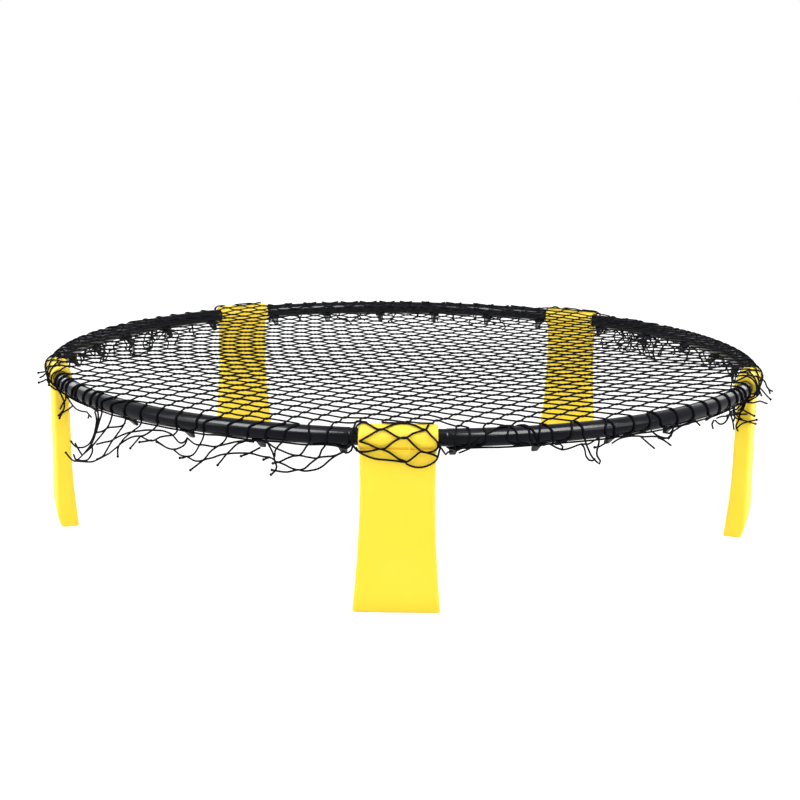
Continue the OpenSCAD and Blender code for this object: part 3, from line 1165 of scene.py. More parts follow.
# Loose meshes, tails and hook cords to the right of leg 1.
RIGHT_EDGE = (
    free((122, -9), (114, -4), (106, 0), (97, 5), (88, 11), (80, 17), (73, 23), (64, 26), (57, 29)),
    free((121, -8), (112, 0), (103, 2), (95, 7), (86, 12), (78, 20), (70, 27), (60, 31)),
    free((123, -9), (127, -2), (131, 5), (132, 14), (134, 21), (136, 26)),
    free((122, -8), (130, 0), (137, 12), (140, 21), (142, 28)),
    carried((157, 14), (157, 19), (158, 25), (161, 27), (166, 27), (169, 30), (168, 34)),
    free((147, 27), (154, 26), (161, 30), (168, 33), (174, 33), (182, 31), (190, 29), (198, 30), (205, 27),
         (211, 24)),
    carried((191, 18), (194, 24), (196, 30), (199, 36), (202, 42), (206, 47), (212, 52), (213, 49),
            (209, 43), (209, 37), (211, 30), (211, 24)),
    free((190, 29), (193, 32), (195, 37), (196, 42), (200, 47), (204, 48), (207, 46)),
    tied((222, 30), (216, 32), (211, 34), (206, 34)),
    free((227, 32), (237, 28), (249, 27), (260, 28), (270, 30), (280, 31), (291, 33), (300, 36), (308, 36),
         (314, 31)),
    free((265, 29), (275, 37), (283, 44, 3)),
    free((280, 25), (289, 31), (299, 35), (308, 37)),
    free((291, 34), (300, 38), (310, 45, 3)),
    free((313, 31), (322, 28), (330, 26), (341, 26), (350, 24)),
    tied((318, 23), (314, 27), (313, 31), (312, 35), (308, 37)),
    free((300, 22), (299, 26), (302, 30), (306, 31, 2), (310, 27, 3), (312, 23)),
    free((352, 24), (358, 30, 3)),
    free((392, 30), (388, 34), (384, 38, 4)),
    free((395, 31), (403, 36), (412, 38), (422, 36), (430, 31), (436, 28)),
    free((398, 29), (410, 29), (424, 31), (440, 30), (455, 33)),
)

# Cords that hang round the barrel of the leg to the right.
RIGHT_LEG_TAILS = (
    tail((507, -10, 172), (510, -14, 168), (511, -16, 164), (512, -14, 154), (513, -11, 146),
         (514, -9, 135)),
    tail((508, -9, 171), (512, -12, 166), (513, -11, 160), (514, -9, 150), (514, -11, 144)),
    tied_tail((509, -6, 174), (513, -9, 168), (514, -10, 162), (514, -10, 152), (516, -5, 148),
              (519, 2, 146), (522, 8, 144), (525, 15, 142)),
    tied_tail((519, 6, 175), (518, 1, 169), (517, -2, 162), (519, 2, 158), (521, 7, 155), (523, 13, 152)),
    tail((518, 4, 175), (518, 0, 167), (517, -2, 161), (517, -4, 151), (516, -5, 145), (515, -7, 140),
         (516, -6, 136), (516, -4, 133)),
    tied_tail((516, -6, 136), (518, -2, 141), (520, 4, 144), (522, 11, 146), (525, 16, 147)),
    tail((512, -14, 152), (515, -8, 154), (517, -2, 154), (520, 5, 154)),
    tail((529, 16, 184), (525, 17, 179), (523, 13, 175), (520, 7, 171), (519, 3, 169), (517, 0, 164),
         (515, -6, 158)),
    tail((519, 3, 169), (522, 11, 168), (526, 18, 170), (528, 23, 168), (529, 27, 167)),
    tail((527, 15, 194), (527, 20, 196), (528, 23, 192), (529, 25, 187), (530, 29, 183), (531, 32, 182)),
    tail((529, 25, 187), (529, 27, 185), (530, 29, 179)),
    tied_tail((528, 15, 187), (527, 20, 183), (529, 25, 177), (531, 30, 172)),
    tail((515, 3, 174), (514, 0, 169), (512, -4, 165), (511, -7, 161), (509, -13, 158), (508, -15, 154),
         (507, -17, 149)),
    tail((517, 3, 174), (516, 1, 164), (514, -1, 159), (513, -5, 156), (511, -9, 154), (509, -13, 154),
         (507, -18, 153)),
    tail((508, -8, 173), (509, -11, 167), (510, -9, 159), (512, -7, 154), (514, -3, 150), (516, 0, 148)),
)

# Cords that hang round the barrel of the leg to the left.
LEFT_LEG_TAILS = (
    tied_tail((-526, 16, 184), (-522, 14, 178), (-519, 7, 175), (-517, 2, 168), (-516, 0, 163),
              (-516, -2, 158), (-516, -2, 151), (-516, 0, 146), (-519, 5, 140)),
    tail((-514, -2, 174), (-515, -4, 165), (-515, -4, 160), (-516, -1, 156), (-518, 3, 148)),
    tied_tail((-513, -4, 174), (-515, -4, 167), (-513, -7, 161), (-512, -11, 154), (-512, -11, 152),
              (-515, -5, 147), (-517, 1, 143), (-518, 4, 137)),
    tail((-512, -11, 154), (-510, -15, 149), (-507, -21, 146), (-504, -27, 145), (-503, -29, 142),
         (-504, -28, 137)),
    tail((-503, -29, 142), (-502, -32, 138)),
    tied_tail((-524, 14, 191), (-523, 17, 194), (-525, 21, 193), (-527, 26, 192)),
    tail((-526, 14, 189), (-524, 18, 191), (-525, 21, 188), (-526, 25, 186)),
    tied_tail((-527, 15, 181), (-524, 18, 184), (-525, 21, 182), (-527, 26, 180)),
)


@dataclass
class LooseEdge:
    """The net's edge: cords over the rim, caught on the hooks, with loose meshes and tails below.

    Its numbers are in millimetres, along the rim from leg 1 or down from the rim's crest, unless
    they are shares or degrees. Its rows say how deep the loose meshes hang from each tube, counted
    from leg 1, in rows of meshes. A cord caught on a hook has (degrees from the crest, share of the
    way to the hook) points, and a snarl its place, half its length and its number of cords.
    """

    sizes: RingSizes
    rng: np.random.Generator
    knots: list[np.ndarray] = field(default_factory=list)
    knot_r: float = 1.55 * MM
    over: tuple[float, ...] = (1.5, 5.0, 9.0, 13.0, 17.0)
    over_gap: float = 2.0
    lean: float = 6.0
    eased_by: float = 15.0
    barrel_reach: float = 38.0
    catch_start: float = 0.3
    catch_middle: float = 0.5
    side_reach: float = 0.68
    caught: tuple[tuple[float, float], ...] = (
        (112, 0.04), (132, 0.2), (150, 0.5), (168, 0.8), (184, 0.97), (198, 1.0)
    )
    caught_lift: float = 0.2
    caught_from: float = 18.0
    loose_from: float = 22.0
    first_drop: float = 23.0
    first_row: float = 30.0
    row_drop: float = 9.0
    rows: tuple[float, ...] = (1.0, 1.9, 0.8, 1.7, 1.0)
    most_rows: int = 8
    row_wave: tuple[float, float] = (0.6, 0.45)
    row_chance: float = 0.4
    jitter: float = 2.0
    widest: float = 45.0
    joint_half: tuple[float, float] = (2.2, 2.0)
    joint_slack: float = 0.3
    hook_drop: float = 27.0
    hook_reach: float = 13.0
    hook_pull: float = 0.7
    hook_fade: float = 0.8
    tail_length: tuple[float, float] = (3.0, 11.0)
    tail_lean: float = 0.9
    tail_curl: float = 5.0
    tail_bend: float = 0.3
    tail_drop: float = 0.85
    tail_lift: tuple[float, float] = (3.0, 6.0)
    snarls: tuple[tuple[float, float, int], ...] = (
        (1015, 46, 20), (-960, 48, 7), (-800, 40, 3), (760, 24, 4)
    )
    snarl_drops: tuple[float, float] = (24.0, 62.0)
    snarl_steps: tuple[int, int] = (9, 16)
    snarl_pace: tuple[float, float] = (9.0, 7.0)
    snarl_turn: tuple[float, float] = (0.25, 0.6)
    snarl_start: tuple[float, float] = (0.2, 2.9)
    snarl_unrest: float = 0.35
    snarl_past: float = 12.0
    snarl_lift: tuple[float, float] = (-3.0, 6.0)
    lash_angle: float = 152.0
    lash_angle_off: tuple[float, float] = (-12.0, 16.0)
    lash_shares: tuple[float, ...] = (0.0, 0.3, 0.55, 0.8)
    lash_lift: float = 0.7
    loop_shares: tuple[float, ...] = (0.12, 0.2, 0.3)
    loop_tilt: float = 2.0
    loop_off: float = 0.08

    def hook_near(self, along: float) -> float:
        """Finds the hook nearest to a place.

        Args:
            along: The place.

        Returns:
            The hook's place, counted on from there even where the rim's count starts again.
        """
        ring_r = self.sizes.ring_r
        bearings = [b for k in range(LEGS) for b in RimTube(self.sizes, k).hook_bearings()]
        hooks = [(b - FIRST_LEG) * ring_r / MM for b in bearings]
        round_rim = TURN * ring_r / MM
        nearest = min(hooks, key=lambda h: abs(math.remainder(h - along, round_rim)))
        return along + math.remainder(nearest - along, round_rim)

    def place(self, points: Iterable[tuple[float, ...]]) -> list[np.ndarray]:
        """Turns (along, drop, lift) points in millimetres into points in space."""
        return [self.sizes.drape(*(v * MM for v in p)) for p in points]

    def place_strand(self, s: Strand) -> list[np.ndarray]:
        """Sets a strand in its place.

        Args:
            s: The strand.

        Returns:
            Its points in space.
        """
        if not s.hanging:
            return self.place(s.points)
        made = []
        for along, outward, height in s.points:
            middle, out, _ = self.sizes.rod(self.sizes.bearing_at(along))
            made.append(middle + outward * MM * out + (height * MM - middle[2]) * UP)
        return made

    def over_rim(self, end: CordEnd, last: float) -> Route:
        """A cord's way over the rim's crest and down its outer side.

        Args:
            end: The cord's end.
            last: The drop that what follows starts at.

        Returns:
            The way's points, (along, drop).
        """
        start = self.sizes.along_at(end.bearing)
        shift = math.remainder(end.settled - end.bearing, TURN) * self.sizes.ring_r / MM
        drops = [d for d in self.over if d < last - self.over_gap]
        return [(start + shift * float(smooth(d / self.eased_by)), d) for d in drops]

    def to_hook(self, along: float) -> list[np.ndarray]:
        """The rest of a cord that is caught on the nearest hook.

        Args:
            along: Where the cord comes down.

        Returns:
            Points in space, round under the tube to the hook.
        """
        hook = self.hook_near(along)
        made = []
        for angle, share in self.caught:
            bearing = self.sizes.bearing_at(along + (hook - along) * share)
            made.append(self.sizes.around(bearing, math.radians(angle), self.caught_lift * MM))
        return made

    def placed_strands(self) -> list[Strand]:
        """The strands that have a place of their own, and the ones over every barrel.

        Returns:
            The strands.
        """
        made = [*LEFT_EDGE, *RIGHT_EDGE, *RIGHT_LEG_TAILS, *LEFT_LEG_TAILS]
        for k in range(LEGS):
            side, reach = 1 if k % 2 == 0 else -1, self.side_reach if k in (1, LEGS - 1) else 1.0
            made += [s.shifted(k * self.sizes.leg_pitch, side, reach) for s in OVER_BARREL]
        return made

    def leads(self, ends: list[CordEnd]) -> dict[int, Strand]:
        """Finds the cord that each carrying strand goes on from.

        Args:
            ends: The cords' ends, sorted. The ones found are moved to their strand's start.

        Returns:
            The strands by the number of their end.
        """
        lead: dict[int, Strand] = {}
        for s in self.placed_strands():
            if s.start is not Tip.NET:
                continue
            first = s.points[0][0]
            bearing = self.sizes.bearing_at(first)
            crest = bearing - math.copysign(self.lean, first) * MM / self.sizes.ring_r
            away = [abs(math.remainder(e.bearing - crest, TURN)) for e in ends]
            best = min((k for k in range(len(ends)) if k not in lead), key=away.__getitem__)
            lead[best] = s
            ends[best].settled = bearing
        return lead

    def finish_ends(self, ends: list[CordEnd]) -> list[list[np.ndarray]]:
        """Carries every cord of the net on from the rim's crest.

        Args:
            ends: The cords' ends, sorted and settled.

        Returns:
            For each end, the points from the crest on.
        """
        lead = self.leads(ends)
        loose = self.fringe([e for k, e in enumerate(ends) if self.is_back(e) and k not in lead])
        step = self.sizes.leg_pitch
        made = []
        for k, end in enumerate(ends):
            along = self.sizes.along_at(end.settled)
            leg = round(along / step)
            way = 1 if leg % 2 == 0 else -1
            side = (along - leg * step) * way
            if k in lead:
                points = lead[k].points
                made.append(self.place(self.over_rim(end, points[0][1]) + list(points)))
                self.tie(made[-1], lead[k].end)
            elif abs(side) < self.barrel_reach:
                catch = min(BARREL_CATCHES, key=lambda c: abs(c[0] - side))
                at = leg * step + way * catch[0]
                middle = ((along + at) / 2, catch[1] / 2 + self.catch_middle)
                made.append(self.place([(along, self.catch_start), middle, (at, catch[1])]))
            elif id(end) in loose:
                made.append(self.place(self.over_rim(end, self.loose_from) + loose[id(end)]))
                self.tie(made[-1], Tip.KNOT)
            else:
                made.append(self.place(self.over_rim(end, self.caught_from)) + self.to_hook(along))
        return made

    def is_back(self, end: CordEnd) -> bool:
        """Whether an end lies on one of the three tubes behind the side legs.

        Args:
            end: The cord's end.

        Returns:
            True where it does, clear of the barrels.
        """
        turn = math.remainder(end.settled - FIRST_LEG, TURN)
        beside = abs(float(self.sizes.from_leg(end.settled))) - self.sizes.shoulder_turn
        return abs(turn) > STEP and beside > 0

    def tie(self, points: list[np.ndarray], end: Tip) -> None:
        """Notes a knot at the end of a strand that has one."""
        if end is Tip.KNOT:
            self.knots.append(points[-1])

    def fringe(self, ends: list[CordEnd]) -> dict[int, Route]:
        """Loose meshes and tails below the rim.

        Neighbouring cords meet in rows, each row half a mesh on from the last, and every cord
        ends in a tail. Near a hook the meshes are drawn up to it.

        Args:
            ends: The cords' ends, sorted.

        Returns:
            By the end's id, the points below the tube.
        """
        along = [self.sizes.along_at(e.settled) for e in ends]
        step = self.sizes.leg_pitch
        depth = [self.rows[int(x % (LEGS * step) / step)] for x in along]
        high, pace = self.row_wave
        rows = [
            round(d + high * math.sin(pace * k) + self.rng.uniform(-self.row_chance, self.row_chance))
            for k, d in enumerate(depth)
        ]
        jitter = self.rng.normal(0, self.jitter, (len(ends) + 1, self.most_rows, 3))
        joint_w, joint_h = self.joint_half
        made: dict[int, Route] = {}
        for k, end in enumerate(ends):
            points: Route = [(along[k], self.first_drop)]
            for row in range(max(1, rows[k])):
                first = k if (k + row) % 2 == 0 else k - 1
                if not 0 <= first < len(ends) - 1 or abs(along[first + 1] - along[first]) > self.widest:
                    break
                wobble = jitter[first, row]
                x = (along[first] + along[first + 1]) / 2 + wobble[0] * (row + 1)
                y = self.first_row + self.row_drop * row + wobble[1]
                x, y = self.drawn_up(x, y, row)
                side = joint_w if k == first else -joint_w
                points.append((x - side, y - joint_h, wobble[2]))
                points.append((x + side * self.joint_slack, y + joint_h, wobble[2]))
            made[id(end)] = points + self.fringe_tail(*points[-1][:2], depth[k])
        return made

    def drawn_up(self, x: float, y: float, row: int) -> tuple[float, float]:
        """Draws a joint of the loose meshes up to the nearest hook.

        Args:
            x: Where along the rim it hangs.
            y: Its drop.
            row: Its row; the lower ones are drawn less.

        Returns:
            Where it hangs then, and its drop.
        """
        hook = self.hook_near(x)
        pull = math.exp(-(((x - hook) / self.hook_reach) ** 2)) * self.hook_fade**row
        return x + (hook - x) * pull, y + (self.hook_drop - y) * pull * self.hook_pull

    def fringe_tail(self, x: float, y: float, depth: float) -> Route:
        """The tail that ends a cord of the loose meshes.

        Args:
            x: Where along the rim it starts.
            y: The drop it starts at.
            depth: How long it is against a plain one.

        Returns:
            Its middle and its end.
        """
        length = self.rng.uniform(*self.tail_length) * depth
        lean = self.rng.uniform(-self.tail_lean, self.tail_lean) * length
        curl = self.rng.uniform(-self.tail_curl, self.tail_curl)
        middle_lift, end_lift = (self.rng.uniform(0, most) for most in self.tail_lift)
        return [
            (x + lean / 2 + curl * self.tail_bend, y + length / 2, middle_lift),
            (x + lean + curl, y + length * self.tail_drop, end_lift),
        ]

    def snarl(self, middle: float, half: float, count: int) -> list[np.ndarray]:
        """Loose cords that hang in a tangle.

        Args:
            middle: Where along the rim it hangs.
            half: How far it reaches to each side.
            count: Its number of cords.

        Returns:
            The cords' points.
        """
        top, bottom = self.snarl_drops
        past = half + self.snarl_past
        made = []
        for _ in range(count):
            x, y = middle + self.rng.uniform(-half, half), top
            way = self.rng.uniform(*self.snarl_start)
            turn = self.rng.choice([-1, 1]) * self.rng.uniform(*self.snarl_turn)
            points = [(x, y, 0.0)]
            for _ in range(self.rng.integers(*self.snarl_steps)):
                way += turn + self.rng.normal(0, self.snarl_unrest)
                x = float(np.clip(x + self.snarl_pace[0] * math.cos(way), middle - past, middle + past))
                y = float(np.clip(y + self.snarl_pace[1] * math.sin(way), top, bottom))
                points.append((x, y, self.rng.uniform(*self.snarl_lift)))
            made.append(np.array(self.place(points)))
            self.tie(list(made[-1]), Tip.KNOT)
        return made

    def lashings(self) -> list[np.ndarray]:
        """The cord that runs from hook to hook under each tube, and the turns round the hooks.

        Returns:
            The cords' points.
        """
        made = []
        for k in range(LEGS):
            tube = RimTube(self.sizes, k)
            hooks = tube.hook_bearings()
            points = []
            for first, second in zip(hooks, hooks[1:]):
                for share in self.lash_shares:
                    off = self.rng.uniform(*self.lash_angle_off) * (share > 0)
                    bearing = first + (second - first) * share
                    lift = self.rng.uniform(0.0, self.lash_lift) * MM
                    points.append(self.sizes.around(bearing, math.radians(self.lash_angle + off), lift))
            last = self.sizes.around(hooks[-1], math.radians(self.lash_angle), self.caught_lift * MM)
            made.append(np.array([*points, last]))
            for bearing in hooks:
                for share in self.loop_shares:
                    tilt = self.rng.uniform(-self.loop_tilt, self.loop_tilt) * MM
                    made.append(tube.hook_loop(bearing, share + self.rng.uniform(0, self.loop_off), tilt))
        return made

    def strands(self) -> list[np.ndarray]:
        """Every strand that doesn't carry on a cord of the net.

        Returns:
            The strands' points.
        """
        made = []
        for s in self.placed_strands():
            if s.start is not Tip.NET:
                points = self.place_strand(s)
                made.append(np.array(points))
                self.tie(points, s.end)
        for middle, half, count in self.snarls:
            made += self.snarl(middle, half, count)
        return made + self.lashings()


@dataclass
class Net:
    """The net: two families of cords joined at their crossings, and carried over the rim.

    joint_off is how far a cord's middle lies off a joint's, in cord radiuses, and bow how far it
    strays between two joints. The net rises to a barrel over rise_over. A crossing counts as on the
    net from least_inside within the rim's crest, and fan_in sets one that the lattice doesn't reach.
    The count_ sizes bound the search for crossings: the families' highest number, how far a
    crossing may miss, and how far out it may lie in ring radiuses. The solve_ sizes are for its
    steps: how many, the nudge that measures a slope, and the longest stride. The settle_ ones say
    in how many rounds, and by what share, the cords are spread on the rim.
    """

    sizes: RingSizes
    seed: int = 7
    joint_length: float = 5 * MM
    joint_off: float = 0.5
    bow: float = 0.25 * MM
    rise_over: float = 45 * MM
    least_inside: float = 4 * MM
    fan_in: float = 0.94
    count_to: int = 34
    count_miss: float = 1e-3
    count_within: float = 1.08
    solve_rounds: int = 40
    solve_nudge: float = 1e-4
    solve_stride: float = 0.05
    halvings: int = 30
    settle_rounds: int = 30
    settle_share: float = 0.45
    ring_spacing: float = 5 * MM
    sides: int = 6
    sharp: float = 80.0

    def __post_init__(self) -> None:
        """Prepares the random source."""
        self.rng = np.random.default_rng(self.seed)

    def crossing(self, rising: np.ndarray, falling: np.ndarray) -> tuple[np.ndarray, np.ndarray]:
        """Where cords cross, by Newton's method.

        Args:
            rising: Numbers of cords of the rising family.
            falling: Numbers of cords of the falling family.

        Returns:
            The crossings' x and y in ring radiuses.
        """
        turn = np.linalg.inv(np.array([[RISING.x, RISING.y], [FALLING.x, FALLING.y]]))
        x, y = turn @ np.stack([rising - RISING.start, falling - FALLING.start])
        tiny, far = self.solve_nudge, self.solve_stride
        for _ in range(self.solve_rounds):
            u, v = RISING.number(x, y) - rising, FALLING.number(x, y) - falling
            ux = (RISING.number(x + tiny, y) - rising - u) / tiny
            uy = (RISING.number(x, y + tiny) - rising - u) / tiny
            vx = (FALLING.number(x + tiny, y) - falling - v) / tiny
            vy = (FALLING.number(x, y + tiny) - falling - v) / tiny
            d = ux * vy - uy * vx
            x = x - np.clip((u * vy - v * uy) / d, -far, far)
            y = y - np.clip((v * ux - u * vx) / d, -far, far)
        return x, y

    def height(self, x: float, y: float) -> float:
        """Height of the flat net: level, and drawn up where it goes over a barrel.

        Args:
            x: A point's x.
            y: Its y.

        Returns:
            The height of a cord's middle there.
        """
        s = self.sizes
        middle, _, radius = s.rod(math.atan2(y, x))
        back = math.hypot(middle[0], middle[1]) - math.hypot(x, y)
        lift = radius - s.tube_r - s.cord_r
        return s.crest + lift * math.exp(-max(0.0, back) / self.rise_over)

    def sweep(self, pile: MeshPile, points: np.ndarray, radius: float) -> None:
        """Adds a round cord along a smooth path.

        Args:
            pile: The mesh it goes into.
            points: Its way, as an array of (n, 3).
            radius: Half of its thickness.
        """
        steep = 0.9
        way = np.gradient(points, axis=0)
        way /= np.linalg.norm(way, axis=1)[:, None]
        along = np.concatenate([[0], np.cumsum(np.linalg.norm(np.diff(points, axis=0), axis=1))])
        normal = np.empty_like(points)
        guess = UP if abs(way[0][2]) < steep else np.array([1.0, 0.0, 0.0])
        for k, t in enumerate(way):
            guess = guess - t * (guess @ t)
            guess = guess / np.linalg.norm(guess)
            normal[k] = guess
        other = np.cross(way, normal)
        angle = np.linspace(0, TURN, self.sides, endpoint=False)[None, :, None]
        ring = np.cos(angle) * normal[:, None, :] + np.sin(angle) * other[:, None, :]
        pile.loft(points[:, None, :] + radius * ring, along)

    def lattice(self) -> Lattice:
        """Where the cords cross on the flat net.

        Returns:
            The crossings by (rising number, falling number).
        """
        reach = range(-self.count_to, self.count_to + 1)
        pairs = np.array([(n, m) for n in reach for m in reach], float)
        x, y = self.crossing(pairs[:, 0], pairs[:, 1])
        miss = np.abs(RISING.number(x, y) - pairs[:, 0]) + np.abs(FALLING.number(x, y) - pairs[:, 1])
        good = (miss < self.count_miss) & (np.hypot(x, y) < self.count_within)
        return {
            (int(n), int(m)): np.array([px, py]) * self.sizes.ring_r
            for (n, m), px, py, ok in zip(pairs, x, y, good)
            if ok
        }

    def inside(self, point: np.ndarray) -> float:
        """How far inside the rim's crest a point of the flat net lies."""
        middle, _, _ = self.sizes.rod(math.atan2(point[1], point[0]))
        return math.hypot(middle[0], middle[1]) - math.hypot(point[0], point[1])

    def rim_crossing(self, inner: np.ndarray, outer: np.ndarray) -> CordEnd:
        """Where a cord crosses the rim's crest.

        Args:
            inner: The cord's last crossing inside the rim.
            outer: The next one.

        Returns:
            The cord's end.
        """
        low, high, further = 0.0, 1.0, 3.0
        if self.inside(outer) > 0:
            outer = inner + further * (outer - inner)
        for _ in range(self.halvings):
            mid = (low + high) / 2
            if self.inside(inner + mid * (outer - inner)) > 0:
                low = mid
            else:
                high = mid
        at = inner + low * (outer - inner)
        return CordEnd(math.atan2(at[1], at[0]))

    def cords(self) -> list[NetCord]:
        """Lays every cord of the flat net.

        Returns:
            The cords with their ends on the rim.
        """
        nodes = self.lattice()
        kept = {key for key, p in nodes.items() if self.inside(p) > self.least_inside}
        made = []
        for family in (0, 1):
            for number in sorted({key[family] for key in kept}):
                line = sorted(key[1 - family] for key in kept if key[family] == number)
                for run in self.runs(line):
                    keys = [(number, k) if family == 0 else (k, number) for k in run]
                    made.append(self.cord(nodes, keys, family))
        return made

    @staticmethod
    def runs(numbers: list[int]) -> list[list[int]]:
        """Splits a list into stretches without gaps.

        Args:
            numbers: The list, sorted.

        Returns:
            The stretches.
        """
        found: list[list[int]] = []
        for k in numbers:
            if found and k == found[-1][-1] + 1:
                found[-1].append(k)
            else:
                found.append([k])
        return found

    def beyond(self, nodes: Lattice, key: tuple[int, int], family: int, way: int) -> np.ndarray:
        """The next crossing past a cord's end, worked out where the lattice has none.

        Args:
            nodes: The lattice.
            key: The cord's last crossing.
            family: 0 for the rising family and 1 for the falling one.
            way: 1 past the cord's last crossing and -1 before its first.

        Returns:
            The point.
        """
        step = (0, way) if family == 0 else (way, 0)
        after = (key[0] + step[0], key[1] + step[1])
        before = (key[0] - step[0], key[1] - step[1])
        if after in nodes:
            return nodes[after]
        return 2 * nodes[key] - nodes.get(before, nodes[key] * self.fan_in)

    def cord(self, nodes: Lattice, keys: list[tuple[int, int]], family: int) -> NetCord:
        """One cord through its crossings.

        Args:
            nodes: The lattice.
            keys: The cord's crossings in order.
            family: 0 for the rising family and 1 for the falling one.

        Returns:
            The cord, with its flat points already at their heights.
        """
        ends = (
            self.rim_crossing(nodes[keys[0]], self.beyond(nodes, keys[0], family, -1)),
            self.rim_crossing(nodes[keys[-1]], self.beyond(nodes, keys[-1], family, 1)),
        )
        flat: list[np.ndarray] = []
        for key in keys:
            joint = self.joint_points(nodes, key, family)
            if flat:
                flat.append((flat[-1] + joint[0]) / 2 + self.rng.normal(0, self.bow, 3))
            flat += joint
        return NetCord(flat, ends)

    def joint_points(self, nodes: Lattice, key: tuple[int, int], family: int) -> list[np.ndarray]:
        """A cord's way through one joint, where it turns half round the other family's cord.

        Args:
            nodes: The lattice.
            key: The joint.
            family: 0 for the rising family and 1 for the falling one.

        Returns:
            Three points, from the joint's left end to its right end.
        """
        at = nodes[key]
        right = [nodes[k] for k in ((key[0] + 1, key[1]), (key[0], key[1] + 1)) if k in nodes]
        left = [nodes[k] for k in ((key[0] - 1, key[1]), (key[0], key[1] - 1)) if k in nodes]
        way = (np.mean(right, axis=0) if right else at) - (np.mean(left, axis=0) if left else at)
        way = way / (np.linalg.norm(way) or 1.0)
        across = np.array([-way[1], way[0]])
        sign = 1 if family == 0 else -1
        off = self.sizes.cord_r * self.joint_off
        made = []
        for t in (0.0, 0.5, 1.0):
            level = at + way * self.joint_length * (t - 0.5) - across * sign * off * math.cos(math.pi * t)
            z = self.height(*level) + sign * off * math.sin(math.pi * t)
            made.append(np.array([level[0], level[1], z]))
        return made

    def settle(self, cords: list[NetCord]) -> list[CordEnd]:
        """Keeps the cords' ends a little apart on the rim's outer side.

        Args:
            cords: The net's cords.

        Returns:
            Their ends, sorted by bearing.
        """
        ends = sorted((e for c in cords for e in c.ends), key=lambda e: e.bearing)
        own = np.array([e.bearing for e in ends])
        at = own.copy()
        for _ in range(self.settle_rounds):
            before = np.concatenate([[at[-1] - TURN], at[:-1]])
            after = np.concatenate([at[1:], [at[0] + TURN]])
            at = (1 - self.settle_share) * own + self.settle_share * (before + after) / 2
        for end, bearing in zip(ends, at):
            end.settled = float(bearing)
        return ends

    def build(self, material: bpy.types.Material) -> bpy.types.Object:
        """Makes the net as one piece and lets it ride on the ring.

        Args:
            material: Its finish.

        Returns:
            The net.
        """
        cords = self.cords()
        ends = self.settle(cords)
        edge = LooseEdge(self.sizes, self.rng)
        rest = {id(e): points for e, points in zip(ends, edge.finish_ends(ends))}
        ways = [np.array(rest[id(c.ends[0])][::-1] + c.flat + rest[id(c.ends[1])]) for c in cords]
        pile = MeshPile()
        for way in ways + edge.strands():
            line = np.array([self.sizes.clear(p) for p in spline(way, self.ring_spacing)])
            self.sweep(pile, line, self.sizes.cord_r)
        for middle in edge.knots:
            pile.knot(middle, edge.knot_r)
        net = show("net_finished", pile.mesh("net", self.sharp), material)
        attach(net, Body.RING.value)
        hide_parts("net", "net_edge")
        LOG.info("net: %d cords, %d faces", len(cords), len(net.data.polygons))
        return net


# ---- Studio --------------------------------------------------------------------------


@dataclass(frozen=True)
class Lamp:
    """A soft lamp, its power in watts, and whether only reflections show it."""

    name: str
    place: tuple[float, float, float]
    size: tuple[float, float]
    power: float
    only_reflected: bool = False

    def pair(self) -> tuple["Lamp", "Lamp"]:
        """The lamp twice, on the left and on the right."""
        left = (-self.place[0], *self.place[1:])
        return replace(self, name=f"{self.name}_left", place=left), replace(self, name=f"{self.name}_right")


LAMPS = (
    Lamp("overhead", (0.0, -0.6, 2.6), (2.4, 1.4), 26.0),
    *Lamp("front", (2.5, -1.3, 1.1), (1.2, 1.2), 32.0).pair(),
    *Lamp("back", (2.0, 2.2, 1.3), (1.4, 1.2), 26.0).pair(),
    *Lamp("sheen", (1.7, -1.5, 2.4), (1.9, 1.5), 440.0, only_reflected=True).pair(),
)


